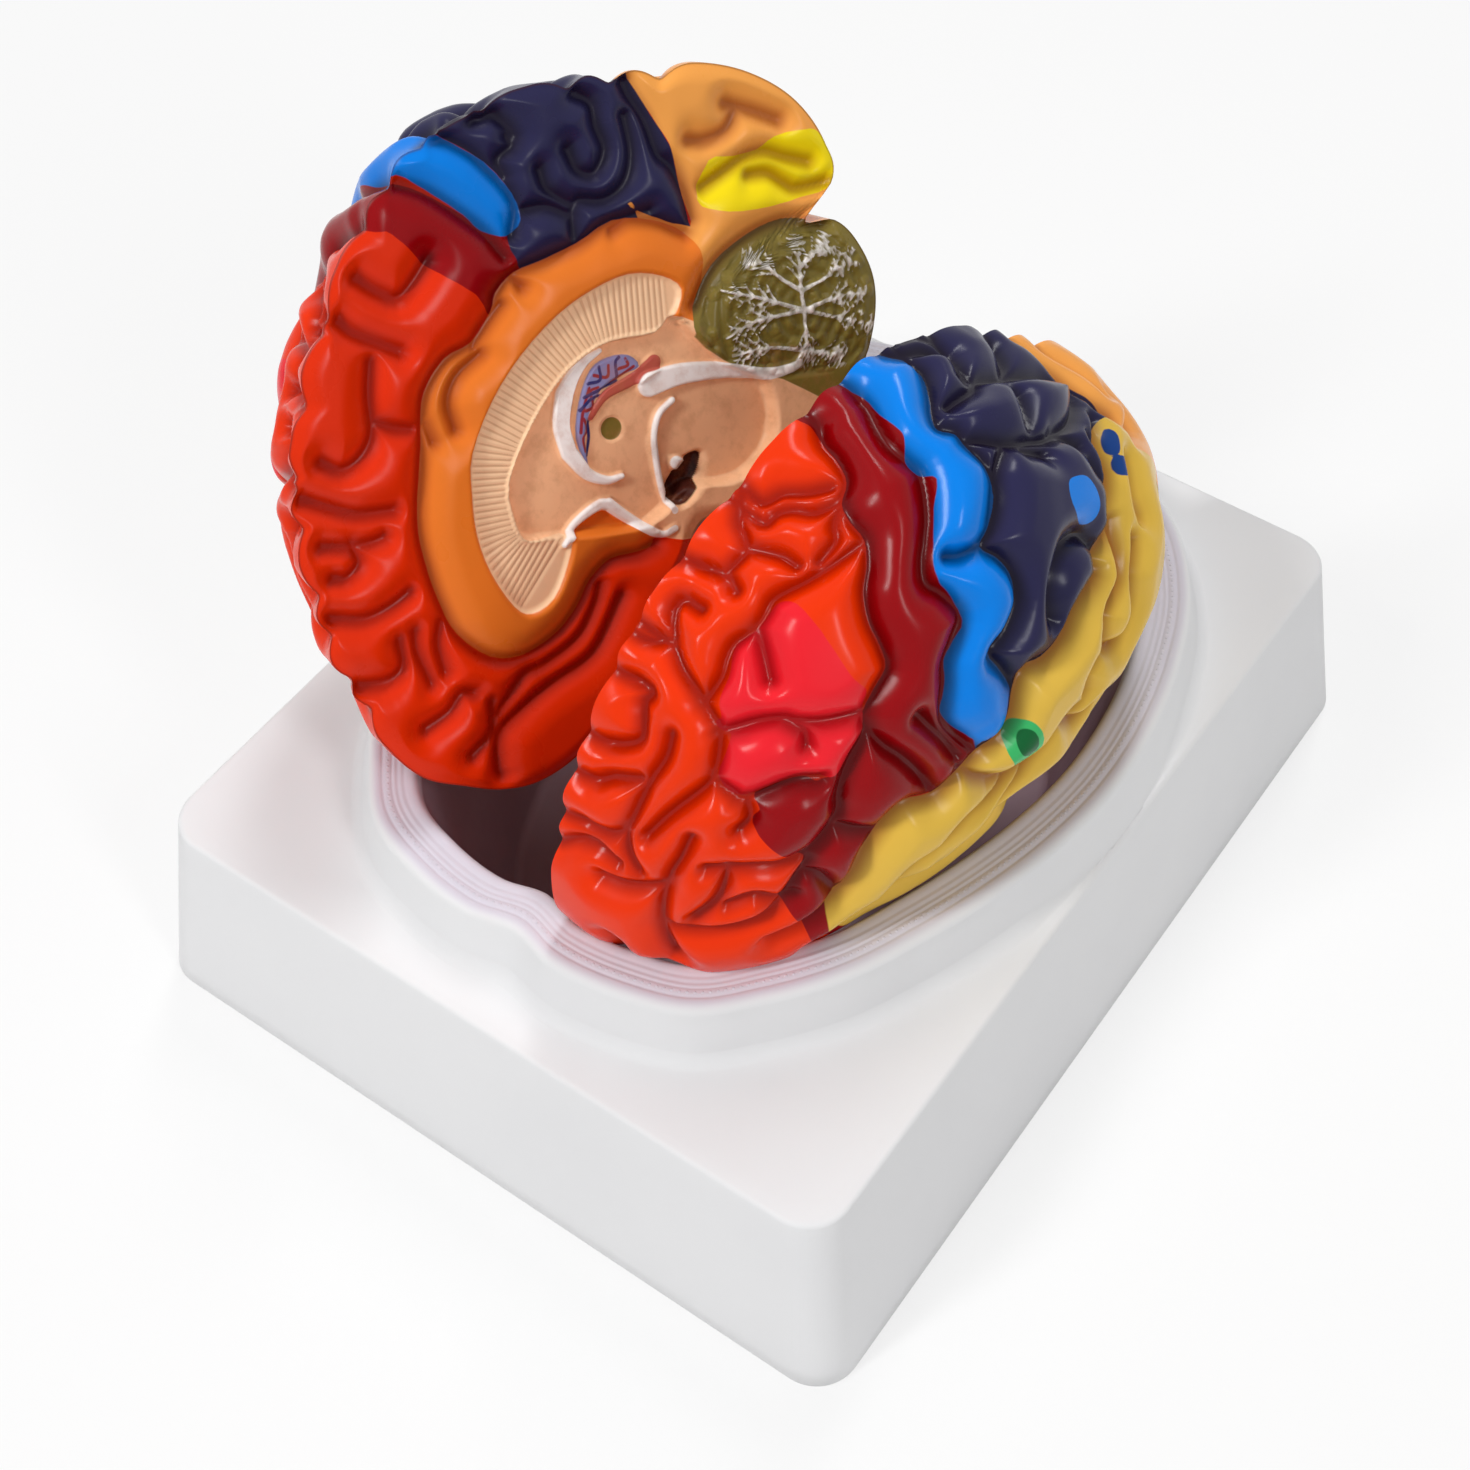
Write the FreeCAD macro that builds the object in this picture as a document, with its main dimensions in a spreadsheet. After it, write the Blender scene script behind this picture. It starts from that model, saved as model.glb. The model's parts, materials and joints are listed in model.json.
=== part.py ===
import FreeCAD, Part
import Sketcher
import math
import os

# Brain anatomy model: two cast half brains that rest in the socket of a moulded stand.
# Millimetres, +Z up. The origin is the middle of the socket's underside, on the table.
# The person whose brain this would be faces -Y, so the left half lies towards +X.

doc = FreeCAD.newDocument("BrainModel")

# Driving dimensions
SIZES = [
    ("stand_height", 48.0, "table to the flat top of the stand"),
    ("stand_slope", 8.0, "lean of the stand's sides, in degrees"),
    ("stand_corner", 9.0, "radius of the stand's upright corners"),
    ("stand_edge", 0.9, "bevel of the stand's top edge"),
    ("stand_wall", 3.0, "wall of the moulding"),
    ("side_border", 1.2, "flat top left beside the raised rim"),
    ("front_border", 11.5, "flat top left in front of the raised rim"),
    ("back_border", 6.0, "flat top left behind the raised rim"),
    ("rim_rise", 13.0, "height of the raised rim above the flat top"),
    ("rim_width", 13.5, "foot of the raised rim, measured out from the socket's lip"),
    ("rim_lean", 3.0, "how far the rim's outer side leans in"),
    ("rim_shoulder", 2.6, "rounding of the rim's outer edge"),
    ("lip_round", 1.8, "rounding of the socket's lip"),
    ("groove_out", 4.2, "inner edge of the shallow groove, from the lip"),
    ("groove_width", 3.0, "width of the shallow groove on the rim"),
    ("groove_depth", 0.6, "depth of the shallow groove on the rim"),
    ("socket_side", 15.5, "room beside the pair of halves at the lip"),
    ("socket_ends", 9.0, "room in front of and behind the halves, both together"),
    ("socket_taper", 12.0, "how much narrower the socket's floor is than its lip"),
    ("brain_length", 144.0, "front pole to back pole along the parting line"),
    ("brain_height", 84.3, "crown to the underside of the frontal lobe"),
    ("half_width", 49.0, "flat inner face to the widest point of a half"),
    ("seam_drop", 1.3, "how far the parting line lies behind the inner face"),
    ("furrow_depth", 4.2, "depth of the folds on the outer side"),
    ("furrow_reach", 6.8, "how far a fold rounds the surface beside it"),
    ("inner_depth", 3.0, "depth of the folds on the inner face"),
    ("callosum_drop", 1.6, "recess of the ribbed arch"),
    ("core_drop", 3.4, "recess of the parts inside the arch"),
    ("cerebellum_width", 36.0, "inner face to the side of the cerebellum"),
    ("facet", 3.6, "edge length of the cast surface's facets"),
    ("seat_gap", 0.3, "clearance left where a half rests on the rim"),
    ("left_across", 16.4, "place of the left half's centre along X"),
    ("left_along", -17.0, "place of the left half's centre along Y"),
    ("left_turn", -10.8, "turn of the left half about the upright, in degrees"),
    ("left_lean", -1.4, "lean of the left half to its side, in degrees"),
    ("left_nod", 12.5, "forward nod of the left half, in degrees"),
    ("right_across", -26.7, "place of the right half's centre along X"),
    ("right_along", -18.0, "place of the right half's centre along Y"),
    ("right_turn", -20.2, "turn of the right half about the upright, in degrees"),
    ("right_lean", -27.9, "lean of the right half to its side, in degrees"),
    ("right_nod", 37.1, "forward nod of the right half, in degrees"),
]
sheet = doc.addObject("Spreadsheet::Sheet", "driving")
sheet.Label = "driving dimensions"
for row, (alias, value, note) in enumerate(SIZES, start=1):
    sheet.set("A%d" % row, alias)
    sheet.set("B%d" % row, str(value))
    sheet.set("C%d" % row, note)
    sheet.setAlias("B%d" % row, alias)
doc.recompute()


def size(alias):
    return float(getattr(sheet, alias))


# Outlines, half outlines and fold routes at the nominal size, in mm or map degrees.
# Socket lip, right side from front to back: (x, y).
LIP_SIDE = [(0, -72.5), (9, -74.5), (22, -73), (33, -69), (41, -60.5), (49, -49), (54.5, -36),
            (59, -23), (62.6, -9), (64.5, 5), (64, 21), (61, 37), (55, 53), (44, 67), (28, 75.5),
            (12, 78.5), (0, 77.5)]
# Parting line of a half on its inner plane, from the front pole over the crown: (ahead, up).
PARTING = [(63, 2), (61, 12), (57, 21), (52, 30), (45, 38.5), (36.5, 47), (27, 55), (15, 60.5),
           (2, 64.5), (-10, 66.5), (-20, 67.5), (-31, 67), (-41, 64.5), (-49, 59.5), (-55, 53.5),
           (-62, 46.5), (-68, 39), (-73, 32), (-79, 24), (-83, 14), (-84, 3), (-81, -7),
           (-76, -12.5), (-66.5, -11.5), (-70, -17), (-69, -25), (-64, -33), (-54, -38.5),
           (-43, -40), (-38, -43), (-34, -50), (-24, -50), (-18.5, -43), (-13, -32), (-8, -21),
           (1, -18), (10, -17), (25, -18.5), (40, -18.5), (52, -15.5), (60, -7)]
# Outline of a half seen from its outer side, lower part only: temporal and orbital surfaces.
FLANK = [(61, -6), (54, -14), (44, -19), (34, -21), (27, -25.5), (19, -30), (8, -33), (-8, -34),
         (-25, -33), (-42, -30), (-56, -25), (-68, -18), (-78, -11)]
HUB = (-12.0, 12.6)  # pole of the map on the inner plane: (ahead, up)
MAP_SQUASH = 0.9  # height against length on the map
# Cerebellum, an ellipsoid on the inner plane: (ahead, up), (half length, half height).
# Its width is a driving dimension, and it fades out over a share of its size.
CEREBELLUM = ((-52.0, -18.0), (17.5, 20.5))
CEREBELLUM_FADE = 0.8

# Folds of the outer side, on a map whose middle is the widest point and whose edge, at 90
# degrees, is the parting line: (towards the front, towards the crown) in degrees.
FRONTAL = [
    [(57.5, 43.5), (60, 38.5), (64.6, 33.2), (67.3, 28.5), (71, 21.5), (74.4, 18.8), (80, 18.5)],
    [(60, 54.5), (62.5, 52), (63.7, 48), (66, 43), (74, 42)],
    [(56, 66.5), (50.5, 64.5), (50, 58), (48.3, 51), (47, 45), (46.5, 41.5), (49.2, 34), (51, 31),
     (54.5, 28.8), (58, 26.8), (61.5, 24.3), (66, 20)],
    [(47, 41.5), (42, 41), (38, 40.5), (34, 39), (31, 36.5), (27, 34), (20.3, 31.2)],
    [(33, 38), (31, 34), (31.5, 31)],
    [(49.7, 31), (47, 27.5), (44.5, 25), (36, 25), (31, 22.5)],
    [(20.6, 30.5), (21.2, 27), (25.3, 23.2), (27.6, 20), (28.9, 16.5), (29.5, 12.5), (32, 9), (35, 7),
     (40, 7.2), (45, 9), (53, 11)],
    [(48.7, 10), (49.5, 6), (51, 2.5), (55, -1.2)],
    [(56, 19), (58, 14.5), (60.3, 10.5), (61.8, 6), (62, 0), (61.3, -5), (58.5, -14)],
    [(61.8, 7.5), (66, 6.8), (72, 6), (78, 6)],
    [(71.4, 20), (70.8, 15), (68.3, 10.3)],
    [(61.5, -3), (56, -4.3), (50, -4.8), (44, -4.5), (39.5, -3), (36, 2.5), (34.5, 5), (35, 7)],
    [(44.5, 25), (44.3, 20.5), (46.5, 18.5)],
    [(79, 32), (74, 33.5), (67, 33.7)],
    [(50.4, 64.5), (48, 69), (46, 72), (43, 73), (40.2, 69.5)],
    [(40, 84), (37, 80.5), (33.8, 77), (31.3, 73.5), (31.2, 69.5)],
    [(31.3, 74.3), (27.5, 75.3), (24, 76.3), (22.3, 79.5), (20.8, 83), (15, 88)],
    [(23, 76), (20.3, 73), (18.2, 70), (17, 66.5)],
    [(17, 79.5), (13, 79), (9.5, 77), (6.3, 73), (1, 70.8)],
    [(3.5, 60.5), (8, 61.2), (17, 62.3), (24.5, 63.4), (28, 61.5), (31.5, 59.8), (36.5, 59),
     (39.5, 56.3), (42, 53), (47.8, 48.8)],
    [(31.2, 59.5), (31.8, 55), (33, 48)],
    [(35, 3), (32.3, 0.5), (28.8, -5.5)],
    [(29.3, 9.8), (26.5, 6.5), (23.5, 3.8)],
]
CENTRAL = [
    [(-11, 89), (-9.7, 86), (-7, 82.5), (-5.5, 77.5), (-3, 73), (1, 70.5), (2.6, 66), (3, 61),
     (6, 56.2), (9.5, 52.5), (11.8, 47), (12.5, 41), (13.5, 36.5), (17, 34), (20.5, 30.5),
     (20.6, 26), (19.4, 21), (17.5, 16), (14.3, 5.5)],
    [(-23, 87), (-23, 84), (-21, 79.5), (-17.5, 75), (-15, 70), (-14.3, 65), (-13.5, 60.5),
     (-8.5, 54), (-5, 50.8), (-2, 48), (-0.3, 44.5), (-1.5, 40), (-2, 34), (1, 31.5), (4.3, 29),
     (6.3, 25), (8.3, 21), (9, 16), (6.5, 7)],
    [(-36, 82), (-39.5, 77), (-39, 74), (-37, 71.5), (-31, 68.3), (-26.5, 65.8), (-24.5, 63),
     (-25.7, 59), (-24.5, 55), (-23.5, 49), (-20, 43.5), (-15, 40.8), (-11.8, 39.8), (-12.8, 35),
     (-13, 30), (-11.3, 25.3), (-7, 22.7), (-3, 22), (-3.6, 16), (-4, 11)],
    [(12.5, 23), (11.5, 19), (10.2, 14), (9.2, 8)],
    [(-12, 40), (-8, 42.5), (-6, 45)],
]
PARIETAL = [
    [(-25, 56.5), (-27.5, 53), (-30.5, 48.5), (-34, 45), (-38, 42), (-41.5, 38.7), (-46, 35.5),
     (-51, 32), (-56.5, 29.5), (-64, 27.5), (-67, 31), (-66, 36), (-62.5, 42), (-58.5, 47.5),
     (-54, 52), (-50, 55.5), (-45, 59), (-39, 60.2), (-30, 63.5)],
    [(-54.5, 52), (-60, 51), (-65, 51.3), (-70, 52.3)],
    [(-44, 61), (-47, 64), (-48.7, 68), (-46, 73), (-40, 78)],
    [(-41, 44.5), (-45, 46.5), (-49.5, 48.5)],
    [(-15.8, 15), (-16.5, 18.5), (-18.5, 21.5), (-21.5, 23.5), (-24.5, 24), (-28, 22.6),
     (-30.8, 19.5), (-31.6, 14.5)],
    [(-16, 41.5), (-20.5, 44.8), (-25, 47), (-30, 48)],
    [(-33.5, 43.5), (-36.5, 40), (-38.5, 34)],
    [(-42.5, 37), (-44, 33.5), (-44.3, 28)],
    [(-41, 26.5), (-41, 21), (-40.3, 15.5)],
    [(-52.4, 24.4), (-50.3, 19.7), (-48, 17.5)],
    [(-63, 14), (-65, 20), (-69, 27), (-72.5, 33), (-76, 40), (-78, 42)],
    [(-72, 14), (-77, 20), (-81, 27)],
]
TEMPORAL = [
    [(40, -10), (33, -8.5), (28.5, -6), (26, -2.5), (24.5, 1.5), (21.5, 5), (18.5, 6), (14, 4),
     (10, 5), (6, 6.3), (2.5, 6), (-1, 7.3), (-4, 10.5), (-7, 12), (-11.2, 10.3), (-16.5, 9.8),
     (-21.5, 11), (-28, 10), (-30.5, 13), (-36.5, 11.8), (-39.3, 14.5), (-44, 15.3), (-48, 16.8),
     (-51, 20), (-55, 21.5), (-60, 22)],
    [(9.5, 6), (7, 4), (4.5, 1), (0, -3.5), (-4, -5.5), (-8, -6.5), (-12, -4.5), (-15.3, 1.5),
     (-17.5, -1), (-21, -2.5), (-25, -3), (-30, -2), (-34, 1), (-40, 3.5)],
    [(20, -7.5), (17.5, -5), (14.5, -4.5), (12, -6.5), (9, -11)],
    [(-30.7, 12), (-29, 8), (-26, 0)],
    [(-42, 4), (-45, 7), (-52, 10.5)],
    [(34, -18), (25, -16), (15, -19), (3, -17), (-12, -19), (-24, -13), (-38, -12), (-50, -5)],
    [(36, -34), (24, -30), (10, -33), (-6, -30), (-20, -33), (-34, -26), (-50, -22)],
    [(2, -17), (-2, -24), (-6, -30)],
    [(-60, 8), (-66, 4), (-74, 6)],
    [(64, -18), (58, -26), (60, -38), (52, -48)],
    [(74, -12), (70, -24), (72, -34)],
]
# Folds of the inner face: (ahead, up) in mm on the inner plane.
INNER = [
    [(7, -11), (15, -10), (24, -7), (31, -3), (36, 3), (37.5, 9), (36, 14), (31, 20), (27, 26),
     (20, 31), (12, 35), (6, 37.5), (3, 41), (-2, 43), (-10, 43), (-17, 41), (-26, 39), (-34, 36),
     (-40, 31), (-45, 27), (-50, 21), (-53, 10)],
    [(53.5, 24), (50, 18.5), (46, 16.8), (42, 20)],
    [(58, 5.5), (54, 3), (46, 1)],
    [(56.5, -7), (50, -7.5), (46, -6.5), (41, -9), (34, -11), (27, -12.5), (13, -12)],
    [(46, 35), (41, 30), (32, 28)],
    [(37.5, 38), (36, 35.5), (32.5, 35), (30.5, 38)],
    [(27.5, 51), (26.5, 46), (25, 40), (21, 34)],
    [(20, 51), (19.5, 47), (16, 44.8), (11, 45), (5.5, 49), (0, 52)],
    [(9, 46), (8, 42), (6.5, 38.5)],
    [(-3.5, 61), (-3, 57), (-4.5, 48)],
    [(-11.5, 62), (-11.5, 57), (-13, 53), (-21, 52)],
    [(-29.5, 64), (-31, 58), (-31, 50), (-30.5, 44), (-29, 39)],
    [(-40, 62), (-41, 58), (-41, 52), (-38.5, 43), (-33, 40)],
    [(-45, 60), (-52, 55), (-57, 50)],
    [(-41.5, 51.5), (-45, 52), (-50, 54)],
    [(-63, 42), (-60.5, 39.5), (-57, 35), (-53, 33.5), (-50.5, 36)],
    [(-45.5, 43), (-45, 38), (-44, 35)],
    [(-47, 32), (-51, 29), (-56, 27.5), (-61, 30), (-65, 33.5)],
    [(-69, 36), (-65.5, 27), (-62, 19.5), (-57, 13.5), (-53, 9)],
    [(-67, 19), (-70.5, 15.5), (-75, 14.2), (-79, 16)],
    [(-58, 12), (-63, 10), (-68, 5.5), (-72, 2), (-76, -7)],
    [(-43, 0.5), (-47, 2.2), (-53, 2), (-60, -1.5), (-65.5, -8), (-69, -13)],
    [(-44, 23), (-48, 21), (-51, 18)],
]
# Ribbed arch, and the recessed core inside it: (ahead, up) in mm on the inner plane.
CALLOSUM = [(25.5, -1), (26, 3), (22.5, 11), (17.5, 17.5), (11.3, 22.5), (5, 26.3), (-5, 28),
            (-15, 27.5), (-25, 25), (-32.5, 21.3), (-38.8, 16.3), (-42, 10), (-42, 5), (-37, 3.5),
            (-32.5, 5), (-26.3, 12.5), (-20, 16.3), (-12.5, 18), (-2.5, 18), (6.3, 16.3),
            (11.3, 12), (13.8, 8), (12.5, 5), (9, 0), (14, -2.5), (21, -3.5)]
CORE = [(9, 0), (12.5, 5), (13.8, 8), (11.3, 12), (6.3, 16.3), (-2.5, 18), (-12.5, 18), (-20, 16.3),
        (-26.3, 12.5), (-32.5, 5), (-37, 3.5), (-36, -3), (-35, -12), (-36, -22), (-28, -29),
        (-18, -27), (-11, -18), (-3, -15), (1, -12)]


def radius_curve(points, hub, stretch=(1.0, 1.0)):
    """Radius against angle of a closed outline round a hub, as cubic pieces between its points."""
    knots = []
    for px, py in points:
        dx = (px - hub[0]) * stretch[0]
        dy = (py - hub[1]) * stretch[1]
        knots.append((math.atan2(dy, dx) % (2 * math.pi), math.hypot(dx, dy)))
    knots.sort()
    count = len(knots)
    angles = [k[0] for k in knots]
    radii = [k[1] for k in knots]

    def span(i):
        return (angles[(i + 1) % count] - angles[i % count]) % (2 * math.pi)

    slopes = [(radii[(i + 1) % count] - radii[i - 1]) / (span(i - 1) + span(i)) for i in range(count)]

    def radius(angle):
        angle = angle % (2 * math.pi)
        i = sum(1 for a in angles if a <= angle) - 1
        step = span(i)
        t = ((angle - angles[i]) % (2 * math.pi)) / step
        j = (i + 1) % count
        start = (1 + 2 * t) * (1 - t) ** 2 * radii[i] + t * (1 - t) ** 2 * step * slopes[i]
        end = t * t * (3 - 2 * t) * radii[j] - t * t * (1 - t) * step * slopes[j]
        return start + end

    return radius


def ease(t):
    t = max(0.0, min(1.0, t))
    return t * t * (3 - 2 * t)


# Stand: the socket's lip grows with the pair of halves that it holds
lip_points = LIP_SIDE + [(-x, y) for x, y in LIP_SIDE[1:-1]]
nominal_side = max(x for x, y in LIP_SIDE)
nominal_ends = max(y for x, y in LIP_SIDE) - min(y for x, y in LIP_SIDE)
lip_stretch = ((size("half_width") + size("socket_side")) / nominal_side,
               (size("brain_length") + size("socket_ends")) / nominal_ends)
lip_radius = radius_curve(lip_points, (0.0, 0.0), lip_stretch)
lip_front = lip_radius(1.5 * math.pi)
lip_back = lip_radius(0.5 * math.pi)
lip_side = lip_radius(0.0)
stand_top = size("stand_height")
rim_top = stand_top + size("rim_rise")
LIP_SIDES = 72


def lip_ring(outward, z, share=1.0):
    """Fine polygon that follows a share of the socket's lip at a distance, at one height."""
    points = []
    for k in range(LIP_SIDES):
        angle = 2 * math.pi * (k + 0.5) / LIP_SIDES
        reach = lip_radius(angle) * share + outward
        points.append(FreeCAD.Vector(reach * math.cos(angle), reach * math.sin(angle), z))
    return points


def closed_solid(points, triangles):
    shape = Part.Shape()
    shape.makeShapeFromMesh((points, triangles), 0.001)
    solid = Part.makeSolid(shape)
    if solid.Volume < 0:
        solid.reverse()
    return solid


def lip_loft(levels):
    """Solid with plane facets whose sections follow the lip: levels are the values of lip_ring."""
    n, points, triangles = LIP_SIDES, [], []
    for level in levels:
        points += lip_ring(*level)
    for k in range(len(levels) - 1):
        for q in range(n):
            a, b = k * n + q, k * n + (q + 1) % n
            triangles += [(a, b, b + n), (a, b + n, a + n)]
    foot, head = len(points), len(points) + 1
    points += [FreeCAD.Vector(0, 0, levels[0][1]), FreeCAD.Vector(0, 0, levels[-1][1])]
    top = (len(levels) - 1) * n
    for q in range(n):
        triangles += [((q + 1) % n, q, foot), (top + q, top + (q + 1) % n, head)]
    return closed_solid(points, triangles).removeSplitter()


def lofted_feature(name, levels):
    feature = doc.addObject("Part::Feature", name)
    feature.Shape = lip_loft(levels)
    return feature


# Reach of the stand's top edges, which follow the rim
REACHES = [
    ("side_reach", lip_side + size("rim_width") + size("side_border")),
    ("front_reach", lip_front + size("rim_width") + size("front_border")),
    ("back_reach", lip_back + size("rim_width") + size("back_border")),
]
for row, (alias, value) in enumerate(REACHES, start=len(SIZES) + 1):
    sheet.set("A%d" % row, alias)
    sheet.set("B%d" % row, str(value))
    sheet.setAlias("B%d" % row, alias)
doc.recompute()

# Block of the stand: its top outline is padded down with the slope of the sides
block = doc.addObject("PartDesign::Body", "block")
plane = [f for f in block.Origin.OriginFeatures if f.Role == "XY_Plane"][0]
outline = block.newObject("Sketcher::SketchObject", "block_outline")
outline.AttachmentSupport = [(plane, "")]
outline.MapMode = "FlatFace"
outline.setExpression("AttachmentOffset.Base.z", "driving.stand_height")
corners = [(-1, -1), (1, -1), (1, 1), (-1, 1)]
for k in range(4):
    here, there = corners[k], corners[(k + 1) % 4]
    start = FreeCAD.Vector(60 * here[0], 60 * here[1], 0)
    end = FreeCAD.Vector(60 * there[0], 60 * there[1], 0)
    outline.addGeometry(Part.LineSegment(start, end), False)
for k in range(4):
    outline.addConstraint(Sketcher.Constraint("Coincident", k, 2, (k + 1) % 4, 1))
    outline.addConstraint(Sketcher.Constraint("Vertical" if k % 2 else "Horizontal", k))
# Distances from the sketch's origin to the front right and the back left corner
for name, kind, first, second, value in [
        ("right", "DistanceX", (-1, 1), (1, 1), 60), ("back", "DistanceY", (-1, 1), (2, 1), 60),
        ("left", "DistanceX", (3, 1), (-1, 1), 60), ("front", "DistanceY", (1, 1), (-1, 1), 60)]:
    index = outline.addConstraint(Sketcher.Constraint(kind, *first, *second, value))
    outline.renameConstraint(index, name)
outline.setExpression("Constraints.right", "driving.side_reach")
outline.setExpression("Constraints.left", "driving.side_reach")
outline.setExpression("Constraints.front", "driving.front_reach")
outline.setExpression("Constraints.back", "driving.back_reach")
doc.recompute()

solid_block = block.newObject("PartDesign::Pad", "solid_block")
solid_block.Profile = outline
solid_block.Reversed = True
solid_block.setExpression("Length", "driving.stand_height")
doc.recompute()


def edge_names(shape, wanted):
    return ["Edge%d" % (k + 1) for k, edge in enumerate(shape.Edges) if wanted(edge)]


def is_upright(edge):
    heights = [v.Point.z for v in edge.Vertexes]
    return len(heights) == 2 and max(heights) - min(heights) > 0.5 * stand_top


def at_height(edge, z):
    box = edge.BoundBox
    return abs(box.ZMin - z) < 0.001 and abs(box.ZMax - z) < 0.001


def face_names(shape, wanted):
    return ["Face%d" % (k + 1) for k, face in enumerate(shape.Faces) if wanted(face.BoundBox)]


slope = block.newObject("PartDesign::Draft", "slope")
slope.Base = (solid_block, face_names(solid_block.Shape, lambda b: b.ZLength > 1))
slope.NeutralPlane = (solid_block, face_names(solid_block.Shape, lambda b: b.ZMin > 1))
slope.setExpression("Angle", "driving.stand_slope")
doc.recompute()
corner_round = block.newObject("PartDesign::Fillet", "corner_round")
corner_round.Base = (slope, edge_names(slope.Shape, is_upright))
corner_round.setExpression("Radius", "driving.stand_corner")
doc.recompute()
underside = face_names(corner_round.Shape, lambda b: abs(b.ZMax) < 0.001)
hollow = block.newObject("PartDesign::Thickness", "hollow")
hollow.Base = (corner_round, underside)
hollow.setExpression("Value", "driving.stand_wall")
hollow.Reversed = True
doc.recompute()
edge_break = block.newObject("PartDesign::Chamfer", "edge_break")
edge_break.Base = (hollow, edge_names(hollow.Shape, lambda e: at_height(e, stand_top)))
edge_break.setExpression("Size", "driving.stand_edge")
doc.recompute()

# Raised rim, its hollow underneath, and the socket that hangs in it down to the table
wall = size("stand_wall")
rim_width = size("rim_width")
rim_in = rim_width - size("rim_lean")
shoulder = size("rim_shoulder")
lip_round = size("lip_round")
taper = size("socket_taper")
ROUND_STEPS = 3


def quarter(out_start, z_start, radius, inward):
    """Levels of a quarter round that ends flat on top, leaning inward (-1) or outward (1)."""
    levels = []
    for k in range(1, ROUND_STEPS + 1):
        a = 0.5 * math.pi * k / ROUND_STEPS
        levels.append((out_start + inward * radius * (1 - math.cos(a)), z_start + radius * math.sin(a)))
    return levels


rim = lofted_feature("rim", [(rim_width, stand_top - wall / 2), (rim_width, stand_top),
                             (rim_in, rim_top - shoulder)] + quarter(rim_in, rim_top - shoulder,
                                                                     shoulder, -1))
rim_hollow = lofted_feature("rim_hollow", [(rim_width - wall, stand_top - 2 * wall),
                                           (rim_width - wall, stand_top - wall),
                                           (rim_in - wall, rim_top - wall)])
floor_share = 1 - taper / lip_side
wall_share = wall / lip_side
tub = lofted_feature("tub", [(0, 0, floor_share + wall_share), (0, rim_top - wall / 2, 1 + wall_share)])
cavity = lofted_feature("cavity", [(0, wall, floor_share), (0, rim_top - lip_round)]
                        + quarter(0, rim_top - lip_round, lip_round, 1)
                        + [(lip_round, rim_top + 1)])
groove_in = size("groove_out")
groove_end = groove_in + size("groove_width")
groove_floor = rim_top - size("groove_depth")
groove = doc.addObject("Part::Feature", "groove")
groove.Shape = lip_loft([(groove_end, groove_floor), (groove_end, rim_top + 1)]).cut(
    lip_loft([(groove_in, groove_floor - 1), (groove_in, rim_top + 2)]))


def combined(kind, name, base, tool):
    feature = doc.addObject(kind, name)
    feature.Base = base
    feature.Tool = tool
    doc.recompute()
    return feature


block_and_rim = combined("Part::Fuse", "block_and_rim", block, rim)
open_rim = combined("Part::Cut", "open_rim", block_and_rim, rim_hollow)
with_tub = combined("Part::Fuse", "with_tub", open_rim, tub)
with_socket = combined("Part::Cut", "with_socket", with_tub, cavity)
stand = combined("Part::Cut", "stand", with_socket, groove)
stand.Label = "stand"

# Halves: one surface for the outer side with its lobes and folds, one for the inner face
seam = radius_curve(PARTING, HUB, (1.0, 1 / MAP_SQUASH))
flank = radius_curve([p for p in PARTING if p[1] > -6] + FLANK, HUB, (1.0, 1 / MAP_SQUASH))
nominal_length = max(p[0] for p in PARTING) - min(p[0] for p in PARTING)
nominal_height = max(p[1] for p in PARTING) - min(p[1] for p in PARTING if p[0] > 9)
long_scale = size("brain_length") / nominal_length
high_scale = size("brain_height") / nominal_height
half_width = size("half_width")
seam_drop = size("seam_drop")
facet = size("facet")
CROWN_POWER = 2.5  # how square the outer side is between the crown and the widest point
FLANK_BLEND = 26.0  # map degrees over which the underside swells from the parting line
ROW_GAP = 0.8  # distance of the facets' rows beside a fold, as a share of a facet
ROW_STEP = 1.15  # spacing along a fold, as a share of a facet
FOLD_SOFTNESS = 0.6  # radius at the bottom of a fold
RIM_SHARE = 0.5  # share of a fold's depth that notches the parting line
RUN_OUT = 9.0  # map degrees from the parting line within which a fold is carried over it
STEP_HALF = 0.9  # half the width of the slanted step round the arch and the core


def placed(ahead, up, out):
    """Point of the left half in its own frame: it faces -Y with its inner face on X = 0."""
    return FreeCAD.Vector(out, -ahead * long_scale, up * high_scale)


def cerebellum_reach(direction):
    """Distance from the hub to the far side of the cerebellum, falling off where a ray misses it."""
    centre, (half_long, half_high) = CEREBELLUM
    halves = (half_long, half_high, size("cerebellum_width"))
    start = ((HUB[0] - centre[0]) / halves[0], (HUB[1] - centre[1]) / halves[1], 0.0)
    ray = [v / w for v, w in zip(direction, halves)]
    a = sum(v * v for v in ray)
    b = sum(v * w for v, w in zip(ray, start))
    c = sum(w * w for w in start) - 1.0
    root = b * b - a * c
    if root > 0:
        return (math.sqrt(root) - b) / a
    miss = math.sqrt(c + 1.0 - b * b / a) - 1.0
    return -b / a * (1.0 - miss / CEREBELLUM_FADE)


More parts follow.
